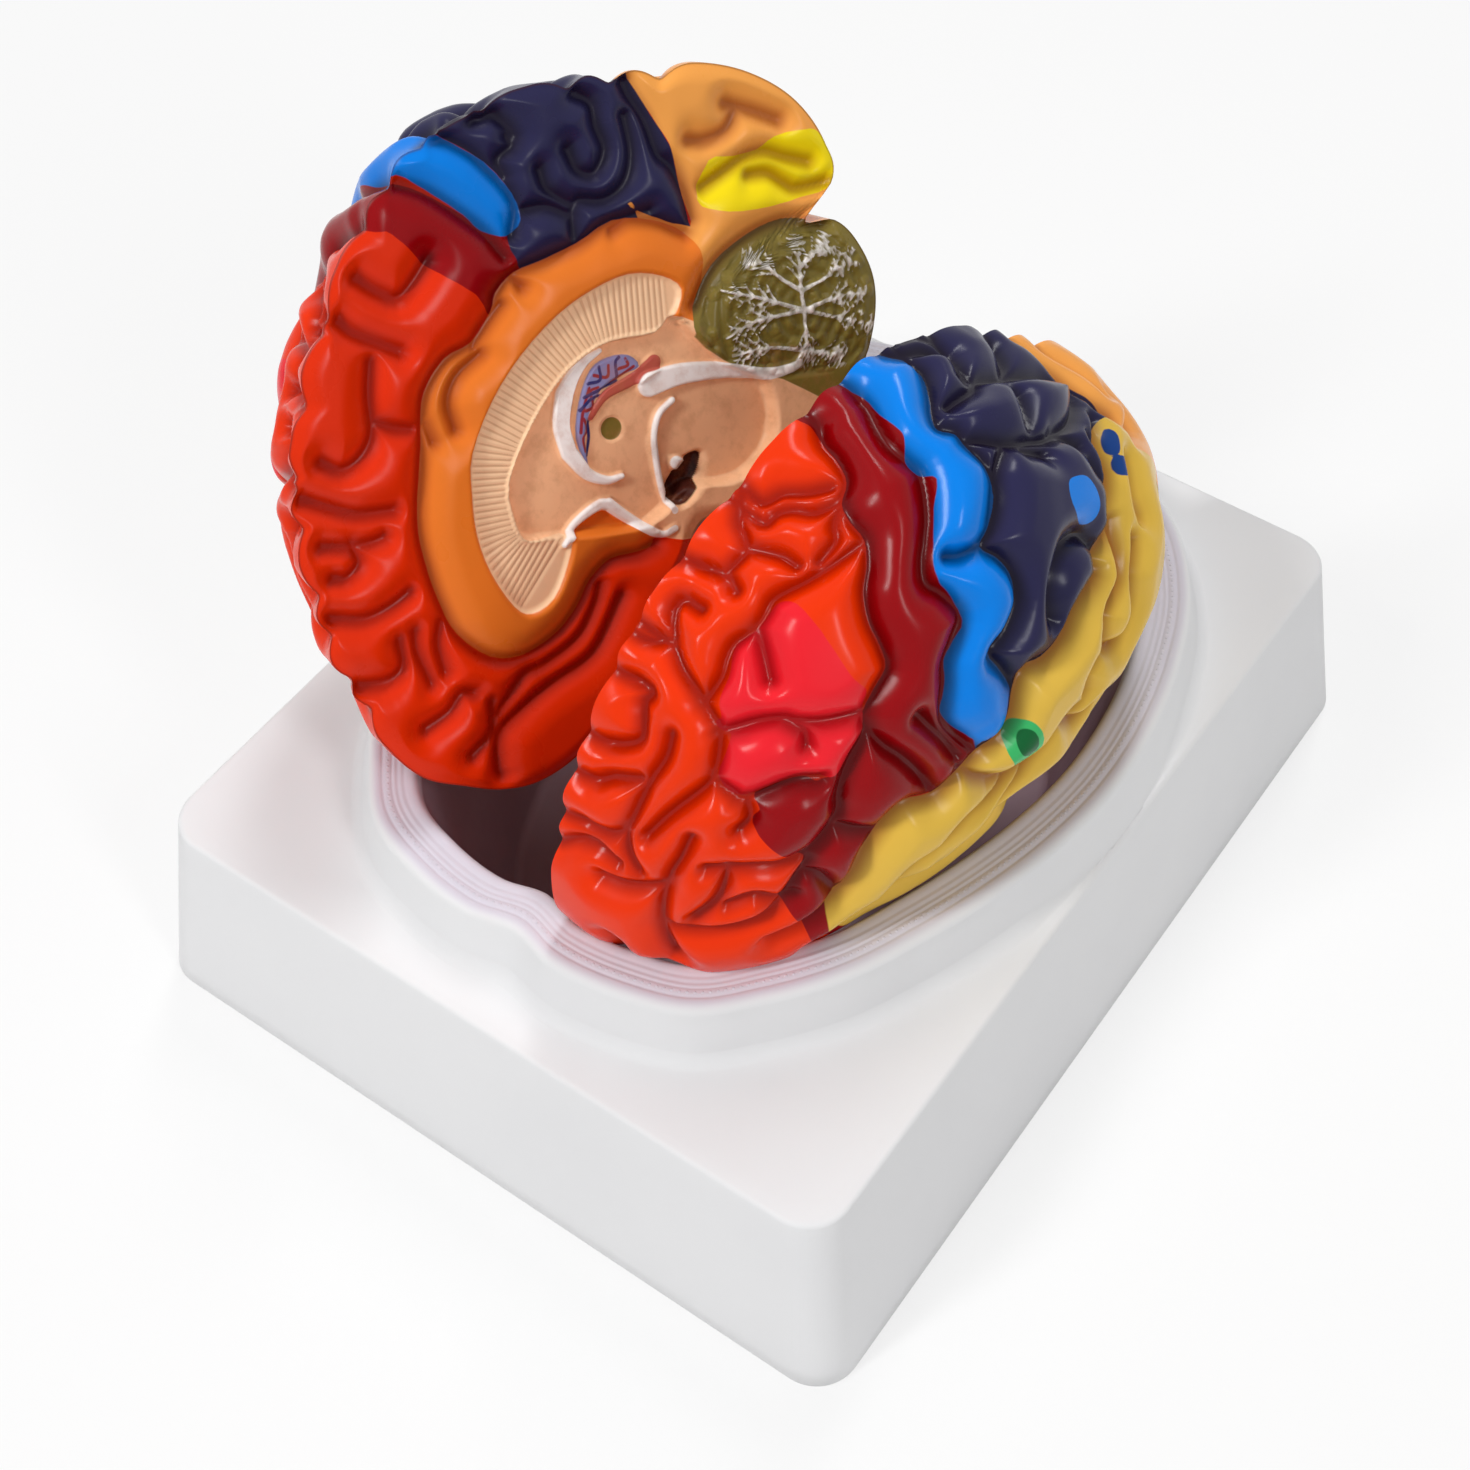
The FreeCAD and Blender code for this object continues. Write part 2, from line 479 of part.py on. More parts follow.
def outer_point(angle, degrees):
    """Smooth outer side at a map angle (radians) and a map distance from its middle (degrees)."""
    share = ease((90.0 - degrees) / FLANK_BLEND)
    radius = seam(angle) * (1 - share) + flank(angle) * share
    rise = math.cos(math.radians(degrees))
    reach = radius * math.sqrt(max(0.0, 1 - rise ** CROWN_POWER))
    ahead, up = reach * math.cos(angle), MAP_SQUASH * reach * math.sin(angle)
    out = seam_drop + (half_width - seam_drop) * rise
    length = math.sqrt(ahead * ahead + up * up + out * out)
    direction = (ahead / length, up / length, out / length)
    far = max(length, cerebellum_reach(direction) * ease((90.0 - degrees) / 8.0))
    return placed(HUB[0] + direction[0] * far, HUB[1] + direction[1] * far, direction[2] * far)


def map_point(x, y):
    return outer_point(math.atan2(y, x), min(90.0, math.hypot(x, y)))


class Folds:
    """Fold lines as chains of points, with the nearest point on any of them."""

    def __init__(self, chains):
        self.pieces = []
        for chain in chains:
            for start, end in zip(chain, chain[1:]):
                along = end.sub(start)
                if along.Length > 0.01:
                    self.pieces.append((start, along, along.dot(along)))

    def gap(self, point):
        best = 1e9
        for start, along, square in self.pieces:
            dx, dy, dz = point.x - start.x, point.y - start.y, point.z - start.z
            t = max(0.0, min(1.0, (dx * along.x + dy * along.y + dz * along.z) / square))
            ex, ey, ez = dx - t * along.x, dy - t * along.y, dz - t * along.z
            best = min(best, ex * ex + ey * ey + ez * ez)
        return math.sqrt(best)


def rounding(gap, reach):
    t = max(0.0, 1.0 - math.hypot(gap, FOLD_SOFTNESS) / reach)
    return 1.0 - math.sqrt(1.0 - t * t)


def crease(gap, reach):
    """Share of a fold's depth at a distance from its line: a quarter round with a soft bottom."""
    return rounding(gap, reach) / rounding(0.0, reach)


def evenly(point_at, spacing, closed, steps=180):
    """Parameters from 0 to 1 that lie evenly along a curve in space."""
    knots = [point_at(k / steps) for k in range(steps + 1)]
    run = [0.0]
    for a, b in zip(knots, knots[1:]):
        run.append(run[-1] + a.distanceToPoint(b))
    count = max(6 if closed else 1, int(round(run[-1] / spacing)))
    found, k = [], 0
    for q in range(count if closed else count + 1):
        goal = run[-1] * q / count
        while k < steps - 1 and run[k + 1] < goal:
            k += 1
        found.append((k + (goal - run[k]) / max(1e-9, run[k + 1] - run[k])) / steps)
    return found


def rows_along(chains, place, gap, on_line):
    """Spots of a plane map in rows beside lines, at a distance in space, and on the lines if wanted."""
    lines = Folds([[place(x, y) for x, y in chain] for chain in chains])
    spots, kept, beside = [], [], []

    def keep(spot, apart):
        point = place(*spot)
        if all(point.distanceToPoint(other) > apart for other in kept):
            kept.append(point)
            spots.append(spot)

    for chain in chains:
        last = len(chain) - 1

        def walk(t):
            k = min(int(t * last), last - 1)
            (ax, ay), (bx, by) = chain[k], chain[k + 1]
            share = t * last - k
            return ax + (bx - ax) * share, ay + (by - ay) * share, bx - ax, by - ay

        for t in evenly(lambda t: place(*walk(t)[:2]), ROW_STEP * facet, False, 12 * last):
            x, y, dx, dy = walk(t)
            if on_line:
                keep((x, y), 0.6 * facet)
            here, run = place(x, y), math.hypot(dx, dy)
            for nx, ny in ((-dy / run, dx / run), (dy / run, -dx / run)):
                shift = gap / here.distanceToPoint(place(x + nx, y + ny))
                beside.append((x + shift * nx, y + shift * ny))
    for spot in beside:
        if lines.gap(place(*spot)) > 0.8 * gap:
            keep(spot, min(0.6 * facet, 1.5 * gap))
    return spots


def triangulated(spots):
    """Delaunay triangles of points in a plane, added one at a time."""
    points = list(spots) + [(-9e3, -9e3), (9e3, -9e3), (0.0, 9e3)]
    total = len(spots)
    apex = {(total, total + 1): total + 2, (total + 1, total + 2): total, (total + 2, total): total + 1}

    def side(a, b, p):
        return (b[0] - a[0]) * (p[1] - a[1]) - (b[1] - a[1]) * (p[0] - a[0])

    def in_circle(a, b, c, p):
        ax, ay, bx, by = a[0] - p[0], a[1] - p[1], b[0] - p[0], b[1] - p[1]
        cx, cy = c[0] - p[0], c[1] - p[1]
        a2, b2, c2 = ax * ax + ay * ay, bx * bx + by * by, cx * cx + cy * cy
        return ax * (by * c2 - b2 * cy) - ay * (bx * c2 - b2 * cx) + a2 * (bx * cy - by * cx) > 1e-9

    last = (total, total + 1)
    for index in range(total):
        p = points[index]
        u, v = last
        while True:
            w = apex[(u, v)]
            if side(points[v], points[w], p) < 0:
                u, v = w, v
            elif side(points[w], points[u], p) < 0:
                u, v = u, w
            elif side(points[u], points[v], p) < 0:
                u, v = v, u
            else:
                break
        w = apex[(u, v)]
        for edge in ((u, v), (v, w), (w, u)):
            del apex[edge]
        open_edges = [(u, v), (v, w), (w, u)]
        while open_edges:
            u, v = open_edges.pop()
            w = apex.get((v, u))
            if w is not None and in_circle(points[v], points[u], points[w], p):
                for edge in ((v, u), (u, w), (w, v)):
                    del apex[edge]
                open_edges += [(u, w), (w, v)]
            else:
                apex[(index, u)] = v
                apex[(u, v)] = index
                apex[(v, index)] = u
                last = (index, u)
    return [(u, v, w) for (u, v), w in apex.items() if u < v and u < w and max(u, v, w) < total]


def in_outline(point, outline):
    """Distance to a closed outline on the inner plane, positive inside."""
    inside, best = False, 1e9
    for k in range(len(outline)):
        ax, ay = outline[k - 1]
        bx, by = outline[k]
        if (ay > point[1]) != (by > point[1]):
            if point[0] < ax + (point[1] - ay) * (bx - ax) / (by - ay):
                inside = not inside
        ex, ey = bx - ax, by - ay
        t = ((point[0] - ax) * ex + (point[1] - ay) * ey) / (ex * ex + ey * ey)
        t = max(0.0, min(1.0, t))
        best = min(best, math.hypot(point[0] - ax - t * ex, point[1] - ay - t * ey))
    return best if inside else -best


def run_out(chain):
    """Fold line whose ends close to the parting line are carried over it."""
    ends = [chain[0], chain[-1]]
    longer = []
    for x, y in ends:
        reach = math.hypot(x, y)
        near = reach > 90.0 - RUN_OUT
        longer.append([(x * 91.0 / reach, y * 91.0 / reach)] if near and reach < 91.0 else [])
    return longer[0] + chain + longer[1]


def outer_side():
    """Map spots and points of the outer side, the parting line's first, and its triangles."""
    chains = [run_out(chain) for chain in FRONTAL + CENTRAL + PARIETAL + TEMPORAL]
    folds = Folds([[map_point(x, y) for x, y in chain] for chain in chains])
    rows = rows_along(chains, map_point, ROW_GAP * facet, True)
    rows = [spot for spot in rows if math.hypot(*spot) < 87.5]
    row_points = [map_point(x, y) for x, y in rows]
    ring_total = int(round(0.5 * math.pi * 60.0 / facet))
    spots, rim = [], 0
    for k in range(ring_total):
        degrees = 90.0 * (1.0 - k / ring_total)
        shares = evenly(lambda t: outer_point(2 * math.pi * t, degrees), facet, True)
        for share in shares:
            angle = 2 * math.pi * share
            point = outer_point(angle, degrees)
            if k and any(point.distanceToPoint(other) < 0.72 * facet for other in row_points):
                continue
            spots.append((degrees * math.cos(angle), degrees * math.sin(angle)))
        rim = rim or len(spots)
    spots += rows
    points = []
    for x, y in spots:
        degrees, angle = math.hypot(x, y), math.atan2(y, x)
        point = outer_point(angle, min(90.0, degrees))
        beside = outer_point(angle + 0.01, min(90.0, degrees)).sub(point)
        inward = outer_point(angle, degrees - 1.0).sub(point)
        normal = inward.cross(beside)
        normal.normalize()
        if degrees < 1.0:
            normal = FreeCAD.Vector(1, 0, 0)
        fade = RIM_SHARE + (1.0 - RIM_SHARE) * ease((90.0 - degrees) / 6.0)
        depth = size("furrow_depth") * fade * crease(folds.gap(point), size("furrow_reach"))
        points.append(point.sub(normal * depth))
    return points, triangulated(spots), rim


def inner_face(rim_points):
    """Points of the inner face inside the parting line, and triangles that use both."""
    folds = Folds([[FreeCAD.Vector(x, y, 0) for x, y in chain] for chain in INNER])
    outline = [(-p.y / long_scale, p.z / high_scale) for p in rim_points]

    def plain(x, y):
        return FreeCAD.Vector(x, y, 0)

    steps = [CALLOSUM + CALLOSUM[:1], CORE + CORE[:1]]
    rows = rows_along(steps, plain, STEP_HALF, False) + rows_along(INNER, plain, ROW_GAP * facet, True)
    spots = list(outline)
    for spot in rows:
        if in_outline(spot, outline) > 0.6 * facet:
            if all(math.hypot(spot[0] - x, spot[1] - y) > 0.42 * facet for x, y in spots):
                spots.append(spot)
    fixed = list(spots)
    step = 1.06 * facet
    for row in range(-24, 25):
        for col in range(-24, 25):
            x = HUB[0] + step * (col + 0.5 * (row % 2))
            y = HUB[1] + step * 0.87 * row
            if in_outline((x, y), outline) > 0.7 * facet:
                if all(math.hypot(x - a, y - b) > 0.75 * facet for a, b in fixed):
                    spots.append((x, y))
    points = []
    for x, y in spots[len(outline):]:
        drop = size("inner_depth") * crease(folds.gap(plain(x, y)), size("furrow_reach"))
        drop = max(drop, size("callosum_drop") * ease(0.5 + 0.5 * in_outline((x, y), CALLOSUM) / STEP_HALF))
        drop = max(drop, size("core_drop") * ease(0.5 + 0.5 * in_outline((x, y), CORE) / STEP_HALF))
        points.append(placed(x, y, drop))
    triangles = []
    for a, b, c in triangulated(spots):
        middle = [(spots[a][k] + spots[b][k] + spots[c][k]) / 3 for k in (0, 1)]
        if in_outline(middle, outline) > 0:
            triangles.append((a, b, c))
    return points, triangles


def half_surface():
    """Points and triangles of the left half in its own frame."""
    points, triangles, rim = outer_side()
    inner_points, inner_triangles = inner_face(points[:rim])
    first = len(points) - rim
    triangles += [tuple(k if k < rim else k + first for k in (a, c, b)) for a, b, c in inner_triangles]
    return points + inner_points, triangles


def seat_height(x, y):
    """Height of the stand's surface above the table at a place, for setting a half down."""
    reach, lip = math.hypot(x, y), lip_radius(math.atan2(y, x))
    out = reach - lip
    if reach < floor_share * lip:
        return wall
    if out < 0:
        return rim_top - lip_round + (rim_top - lip_round - wall) * (reach / lip - 1) / (1 - floor_share)
    if out < lip_round:
        return rim_top - lip_round + math.sqrt(max(0.0, lip_round ** 2 - (lip_round - out) ** 2))
    if out < rim_in - shoulder:
        return rim_top
    if out < rim_in:
        return rim_top - shoulder + math.sqrt(max(0.0, shoulder ** 2 - (out - rim_in + shoulder) ** 2))
    if out < rim_width:
        return rim_top - shoulder - (rim_top - shoulder - stand_top) * (out - rim_in) / size("rim_lean")
    edge_x = size("side_reach")
    edge_y = size("front_reach") if y < 0 else size("back_reach")
    return stand_top if abs(x) < edge_x and abs(y) < edge_y else -1e3


def add_half(label, points, triangles, across, along, turn, lean, nod):
    rotation = FreeCAD.Rotation(turn, lean, nod)
    here = [rotation.multVec(p) for p in points]
    for a, b, c in triangles:
        here += [(here[a] + here[b]) * 0.5, (here[b] + here[c]) * 0.5, (here[c] + here[a]) * 0.5]
    lift = max(seat_height(p.x + across, p.y + along) - p.z for p in here) + size("seat_gap")
    half = doc.addObject("Part::Feature", label)
    half.Label = label
    half.Shape = closed_solid(points, triangles)
    half.Placement = FreeCAD.Placement(FreeCAD.Vector(across, along, lift), rotation)
    print(label, "rests with its centre at", round(across, 1), round(along, 1), round(lift, 1))
    return half


left_points, left_triangles = half_surface()
right_points = [FreeCAD.Vector(-p.x, p.y, p.z) for p in left_points]
right_triangles = [(a, c, b) for a, b, c in left_triangles]
print("facets of each half", len(left_triangles))
left_half = add_half("left_half", left_points, left_triangles, size("left_across"), size("left_along"),
                     size("left_turn"), size("left_lean"), size("left_nod"))
right_half = add_half("right_half", right_points, right_triangles, size("right_across"),
                      size("right_along"), size("right_turn"), size("right_lean"), size("right_nod"))
doc.recompute()

# Checks, then one file for each piece
for obj in doc.Objects:
    if "Invalid" in obj.State or "Error" in obj.State:
        raise RuntimeError("failed: " + obj.Label)
os.makedirs("parts", exist_ok=True)
for piece in (stand, left_half, right_half):
    if piece.Shape.isNull() or not piece.Shape.isValid():
        raise RuntimeError("bad shape: " + piece.Label)
    piece.Shape.exportStep(os.path.join("parts", piece.Label + ".step"))
    box = piece.Shape.BoundBox
    print(piece.Label, len(piece.Shape.Solids), "solid", round(piece.Shape.Volume), "mm3, box",
          [round(v, 1) for v in (box.XMin, box.XMax, box.YMin, box.YMax, box.ZMin, box.ZMax)])
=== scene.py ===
import json
import math
import bpy
import numpy as np
from mathutils import Matrix, Vector

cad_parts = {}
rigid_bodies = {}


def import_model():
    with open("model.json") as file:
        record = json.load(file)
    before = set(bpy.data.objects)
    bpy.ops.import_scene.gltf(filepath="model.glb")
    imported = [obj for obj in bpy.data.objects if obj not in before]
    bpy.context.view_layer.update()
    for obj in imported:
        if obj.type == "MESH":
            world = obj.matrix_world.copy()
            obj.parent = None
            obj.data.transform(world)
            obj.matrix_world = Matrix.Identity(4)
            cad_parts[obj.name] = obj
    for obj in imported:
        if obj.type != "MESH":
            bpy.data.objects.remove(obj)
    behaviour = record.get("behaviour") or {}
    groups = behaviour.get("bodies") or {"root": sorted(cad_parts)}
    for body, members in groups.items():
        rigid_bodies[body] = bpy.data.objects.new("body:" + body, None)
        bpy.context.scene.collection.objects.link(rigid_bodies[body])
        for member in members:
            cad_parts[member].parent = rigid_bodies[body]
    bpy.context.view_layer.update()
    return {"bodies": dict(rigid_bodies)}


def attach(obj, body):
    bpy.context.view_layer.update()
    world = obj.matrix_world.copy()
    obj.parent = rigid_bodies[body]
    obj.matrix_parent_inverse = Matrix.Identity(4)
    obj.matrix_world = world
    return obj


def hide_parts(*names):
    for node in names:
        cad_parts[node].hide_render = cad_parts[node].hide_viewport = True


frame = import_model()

# Brain anatomy model: painted left and right halves resting in a white moulded stand.
# Lengths are worked out in millimetres and put into the meshes in metres.
turn = 2 * math.pi
edgeWidth = 4.0  # distances to a painted edge count up to this, in mm or map degrees


# Curves and distances, worked out on whole arrays.


def ease(t):
    # smooth rise from 0 to 1: three t squared less two t cubed
    t = np.clip(t, 0.0, 1.0)
    return t * t * (3 - 2 * t)


def smoothed(points, steps=4, closed=False):
    # each span is the cubic through its two ends whose slopes follow the chords of its neighbours
    p = np.array(points, float)
    if closed:
        p = np.vstack([p[-1:], p, p[:2]])
    else:
        p = np.vstack([2 * p[0] - p[1], p, 2 * p[-1] - p[-2]])
    a, b, c, d = (q[:, None, :] for q in (p[:-3], p[1:-2], p[2:-1], p[3:]))
    t = np.linspace(0, 1, steps, endpoint=False)[None, :, None]
    line = b + 0.5 * t * (c - a + t * (2 * a - 5 * b + 4 * c - d + t * (3 * b - a - 3 * c + d)))
    line = line.reshape(-1, p.shape[1])
    return line if closed else np.vstack([line, p[-2:-1]])


def radiusCurve(points, hub, stretch):
    # radius against angle round a hub: a cubic between neighbouring points, whose slope at each
    # point is the rise from the one before to the one after, over the angle between them
    p = (np.array(points, float) - hub) * stretch
    angle = np.arctan2(p[:, 1], p[:, 0]) % turn
    order = np.argsort(angle)
    angle, radius = angle[order], np.hypot(p[:, 0], p[:, 1])[order]
    span = np.diff(np.append(angle, angle[0] + turn))
    slope = (np.roll(radius, -1) - np.roll(radius, 1)) / (span + np.roll(span, 1))

    def at(a):
        i = (np.searchsorted(angle, np.mod(a, turn), side="right") - 1) % len(angle)
        j = (i + 1) % len(angle)
        t = np.mod(a - angle[i], turn) / span[i]
        start = (1 + 2 * t) * (1 - t) ** 2 * radius[i] + t * (1 - t) ** 2 * span[i] * slope[i]
        return start + t * t * (3 - 2 * t) * radius[j] - t * t * (1 - t) * span[i] * slope[j]
    return at


def nearChain(points, chain, best, run=None, width=7.0):
    # least distance to a chain of straight pieces, kept in best where it is smaller; only points
    # in the chain's box, widened, are worked out; run also gets the length along the chain
    low, high = chain.min(0) - width, chain.max(0) + width
    near = np.nonzero(np.all((points >= low) & (points <= high), axis=1))[0]
    start, along = chain[:-1], chain[1:] - chain[:-1]
    length = np.sqrt((along ** 2).sum(1)) + 1e-9
    before = np.concatenate([[0.0], np.cumsum(length)[:-1]])
    for part in np.array_split(near, len(near) * len(start) // 1500000 + 1):
        if not len(part):
            continue
        away = points[part][:, None, :] - start[None]
        t = np.clip((away * along).sum(2) / length ** 2, 0, 1)
        gap = ((away - t[..., None] * along) ** 2).sum(2)
        pick = gap.argmin(1)
        rows = np.arange(len(part))
        gap = np.sqrt(gap[rows, pick])
        closer = gap < best[part]
        if run is not None:
            run[part[closer]] = (before[pick] + t[rows, pick] * length[pick])[closer]
        best[part] = np.minimum(best[part], gap)
    return best


def chainGap(points, chains, width=7.0, power=4.0):
    # least distance to several chains, up to a width, rounded where two are equally near: the root
    # of a sum of inverse powers, so that the crest between two folds has no edge
    total = np.full(len(points), width ** -power)
    for chain in chains:
        gap = nearChain(points, chain, np.full(len(points), width), None, width)
        total += np.maximum(gap, 0.02) ** -power - width ** -power
    return total ** (-1 / power)


def insideBy(points, outline, smooth=3):
    # distance to a closed outline, positive inside, cut off at a width; a point is inside where a
    # line from it to the left crosses the outline an odd number of times
    width = edgeWidth
    loop = smoothed(outline, smooth, True) if smooth else np.array(outline, float)
    loop = np.vstack([loop, loop[:1]])
    inside = np.zeros(len(points), bool)
    for (ax, ay), (bx, by) in zip(loop[:-1], loop[1:]):
        if ay != by:
            rows = (ay > points[:, 1]) != (by > points[:, 1])
            inside ^= rows & (points[:, 0] < ax + (points[:, 1] - ay) * (bx - ax) / (by - ay))
    gap = nearChain(points, loop, np.full(len(points), width), None, width)
    return np.where(inside, gap, -gap)


# Meshes and shaders.


def paint(red, green, blue):
    # a colour as seen on screen, 0 to 255, made linear
    return tuple((c / 255 / 12.92) if c < 11 else ((c / 255 + 0.055) / 1.055) ** 2.4
                 for c in (red, green, blue)) + (1.0,)


def diskFaces(count, rings, flip):
    # faces of a disk of rings round a middle point: triangles first, then bands of quads
    k = np.arange(count)
    after = (k + 1) % count
    fan = np.stack([np.zeros(count, int), 1 + k, 1 + after], 1)
    base = (np.arange(rings - 1) * count)[:, None] + 1
    band = np.stack([base + k, base + count + k, base + count + after, base + after], 2)
    band = band.reshape(-1, 4)
    if flip:
        fan, band = fan[:, ::-1], band[:, ::-1]
    return fan.tolist() + band.tolist()


def added(name, data):
    # a new object of the scene
    thing = bpy.data.objects.new(name, data)
    bpy.context.scene.collection.objects.link(thing)
    return thing


def makePiece(name, points, faces, values, material):
    # a smooth mesh from points in mm, with one number per point for each named value
    mesh = bpy.data.meshes.new(name)
    mesh.from_pydata((np.asarray(points) * 0.001).tolist(), [], faces)
    for key, numbers in values.items():
        layer = mesh.attributes.new(key, "FLOAT", "POINT")
        layer.data.foreach_set("value", np.asarray(numbers, np.float32))
    mesh.polygons.foreach_set("use_smooth", np.ones(len(mesh.polygons), bool))
    mesh.materials.append(material)
    mesh.update()
    return added(name, mesh)


class Wire:
    # a socket in a shader: arithmetic on it adds Math nodes
    def __init__(self, shader, socket):
        self.shader = shader
        self.socket = socket

    def __add__(self, other):
        return self.shader.maths("ADD", self, other)

    def __sub__(self, other):
        return self.shader.maths("SUBTRACT", self, other)

    def __rsub__(self, other):
        return self.shader.maths("SUBTRACT", other, self)

    def __mul__(self, other):
        return self.shader.maths("MULTIPLY", self, other)

    __radd__ = __add__
    __rmul__ = __mul__

    def between(self, low, high, first=0.0, last=1.0):
        # smooth change from first at low to last at high
        return self.shader.make("MapRange", {"interpolation_type": "SMOOTHSTEP"},
                                {"Value": self, "From Min": low, "From Max": high, "To Min": first,
                                 "To Max": last})


class Shader:
    # nodes of a new material, or of the world where that is given
    def __init__(self, name, world=None):
        self.owner = world or bpy.data.materials.new(name)
        self.owner.use_nodes = True
        self.tree = self.owner.node_tree
        self.tree.nodes.clear()

    def make(self, kind, settings=None, values=None, out=0):
        # any node, from its type, its settings, and the values or links of its sockets
        node = self.tree.nodes.new("ShaderNode" + kind)
        for key, value in (settings or {}).items():
            setattr(node, key, value)
        for key, value in (values or {}).items():
            if isinstance(value, Wire):
                self.tree.links.new(value.socket, node.inputs[key])
            else:
                node.inputs[key].default_value = value
        return Wire(self, node.outputs[out]) if len(node.outputs) else node

    def maths(self, operation, *terms):
        return self.make("Math", {"operation": operation}, dict(enumerate(terms)))

    def place(self):
        return self.make("TexCoord", out="Object")

    def attribute(self, name):
        return self.make("Attribute", {"attribute_name": name}, out="Fac")

    def noise(self, scale, detail=3.0, rough=0.5):
        return self.make("TexNoise", {}, {"Vector": self.place(), "Scale": scale, "Detail": detail,
                                          "Roughness": rough})

    def blend(self, share, first, second, kind="MIX"):
        # colours: first where share is 0, second where it is 1
        return self.make("Mix", {"data_type": "RGBA", "blend_type": kind},
                         {0: share, 6: first, 7: second}, 2)

    def bump(self, height, strength, distance):
        return self.make("Bump", {}, {"Strength": strength, "Distance": distance, "Height": height})

    def seen(self):
        # 1 for what the camera, a reflection or clear glass looks at, 0 for light on the object
        camera, glossy, through = (self.make("LightPath", out="Is %s Ray" % kind)
                                   for kind in ("Camera", "Glossy", "Transmission"))
        return self.maths("MAXIMUM", self.maths("MAXIMUM", camera, glossy), through)

    def finish(self, values):
        surface = self.make("BsdfPrincipled", {}, values)
        self.make("OutputMaterial", {}, {"Surface": surface})
        return self.owner


# The two halves: sizes, outlines, folds and painted areas of the left one.
brain = {
    "length": 144.0, "height": 84.3, "halfWidth": 49.0, "seamDrop": 1.3,
    "foldDepth": 4.2, "foldReach": 6.8, "foldSoftness": 1.0, "foldFade": 6.0, "gapWidth": 8.0,
    "rimShare": 0.5, "runOut": 9.0,
    "innerDepth": 3.0, "callosumDrop": 1.6, "coreDrop": 3.4, "cerebellumWidth": 36.0,
    "crownPower": 2.5, "flankPower": 1.6, "flankBlend": 26.0, "cerebellumBlend": 8.0,
    "temporalSwell": 2.4, "temporalMiddle": (-12, -3), "temporalHalf": (44, 17), "baseLevel": -18.5,
    "angles": 544, "outerRings": 180, "innerRings": 172,
}

hub = np.array([-12.0, 12.6])
mapSquash = 0.9
parting = [(63, 2), (61, 12), (57, 21), (52, 30), (45, 38.5), (36.5, 47), (27, 55), (15, 60.5),
           (2, 64.5), (-10, 66.5), (-20, 67.5), (-31, 67), (-41, 64.5), (-49, 59.5), (-55, 53.5),
           (-62, 46.5), (-68, 39), (-73, 32), (-79, 24), (-83, 14), (-84, 3), (-81, -7), (-76, -12.5),
           (-66.5, -11.5), (-70, -17), (-69, -25), (-64, -33), (-54, -38.5), (-43, -40), (-38, -43),
           (-34, -50), (-24, -50), (-18.5, -43), (-13, -32), (-7, -24.5), (2, -25), (11, -26.5),
           (22, -27.5), (35, -27.5), (46, -25.5), (54, -20.5), (58.5, -14), (61, -6.5)]
flankPoints = [(61, -6), (54, -14), (44, -19), (34, -21), (27, -25.5), (19, -30), (8, -33), (-8, -34),
               (-25, -33), (-42, -30), (-56, -25), (-68, -18), (-78, -11)]
cerebellum = {"middle": (-52.0, -18.0), "half": (17.5, 20.5), "fade": 0.8}
# Places on the outer side are in map degrees round the hub: towards the front, towards the crown.
# These three folds are also edges of painted areas.
redFold = [(-7, 82.5), (-5.5, 77.5), (-3, 73), (1, 70.5), (2.6, 66), (3, 61), (6, 56.2), (9.5, 52.5),
           (11.8, 47), (12.5, 41), (13.5, 36.5), (17, 34), (20.5, 30.5), (20.6, 26), (19.4, 21),
           (17.5, 16), (14.3, 5.5)]
navyFold = [(-36, 82), (-39.5, 77), (-39, 74), (-37, 71.5), (-31, 68.3), (-26.5, 65.8), (-24.5, 63),
            (-25.7, 59), (-24.5, 55), (-23.5, 49), (-20, 43.5), (-15, 40.8), (-11.8, 39.8), (-12.8, 35),
            (-13, 30), (-11.3, 25.3), (-7, 22.7), (-3, 22), (-3.6, 16)]
temporalFold = [(24.5, 1.5), (21.5, 5), (18.5, 6), (14, 4), (10, 5), (6, 6.3), (2.5, 6), (-1, 7.3),
                (-4, 10.5), (-7, 12), (-11.2, 10.3), (-16.5, 9.8), (-21.5, 11), (-28, 10), (-30.5, 13),
                (-36.5, 11.8), (-39.3, 14.5), (-44, 15.3), (-48, 16.8), (-51, 20), (-55, 21.5)]
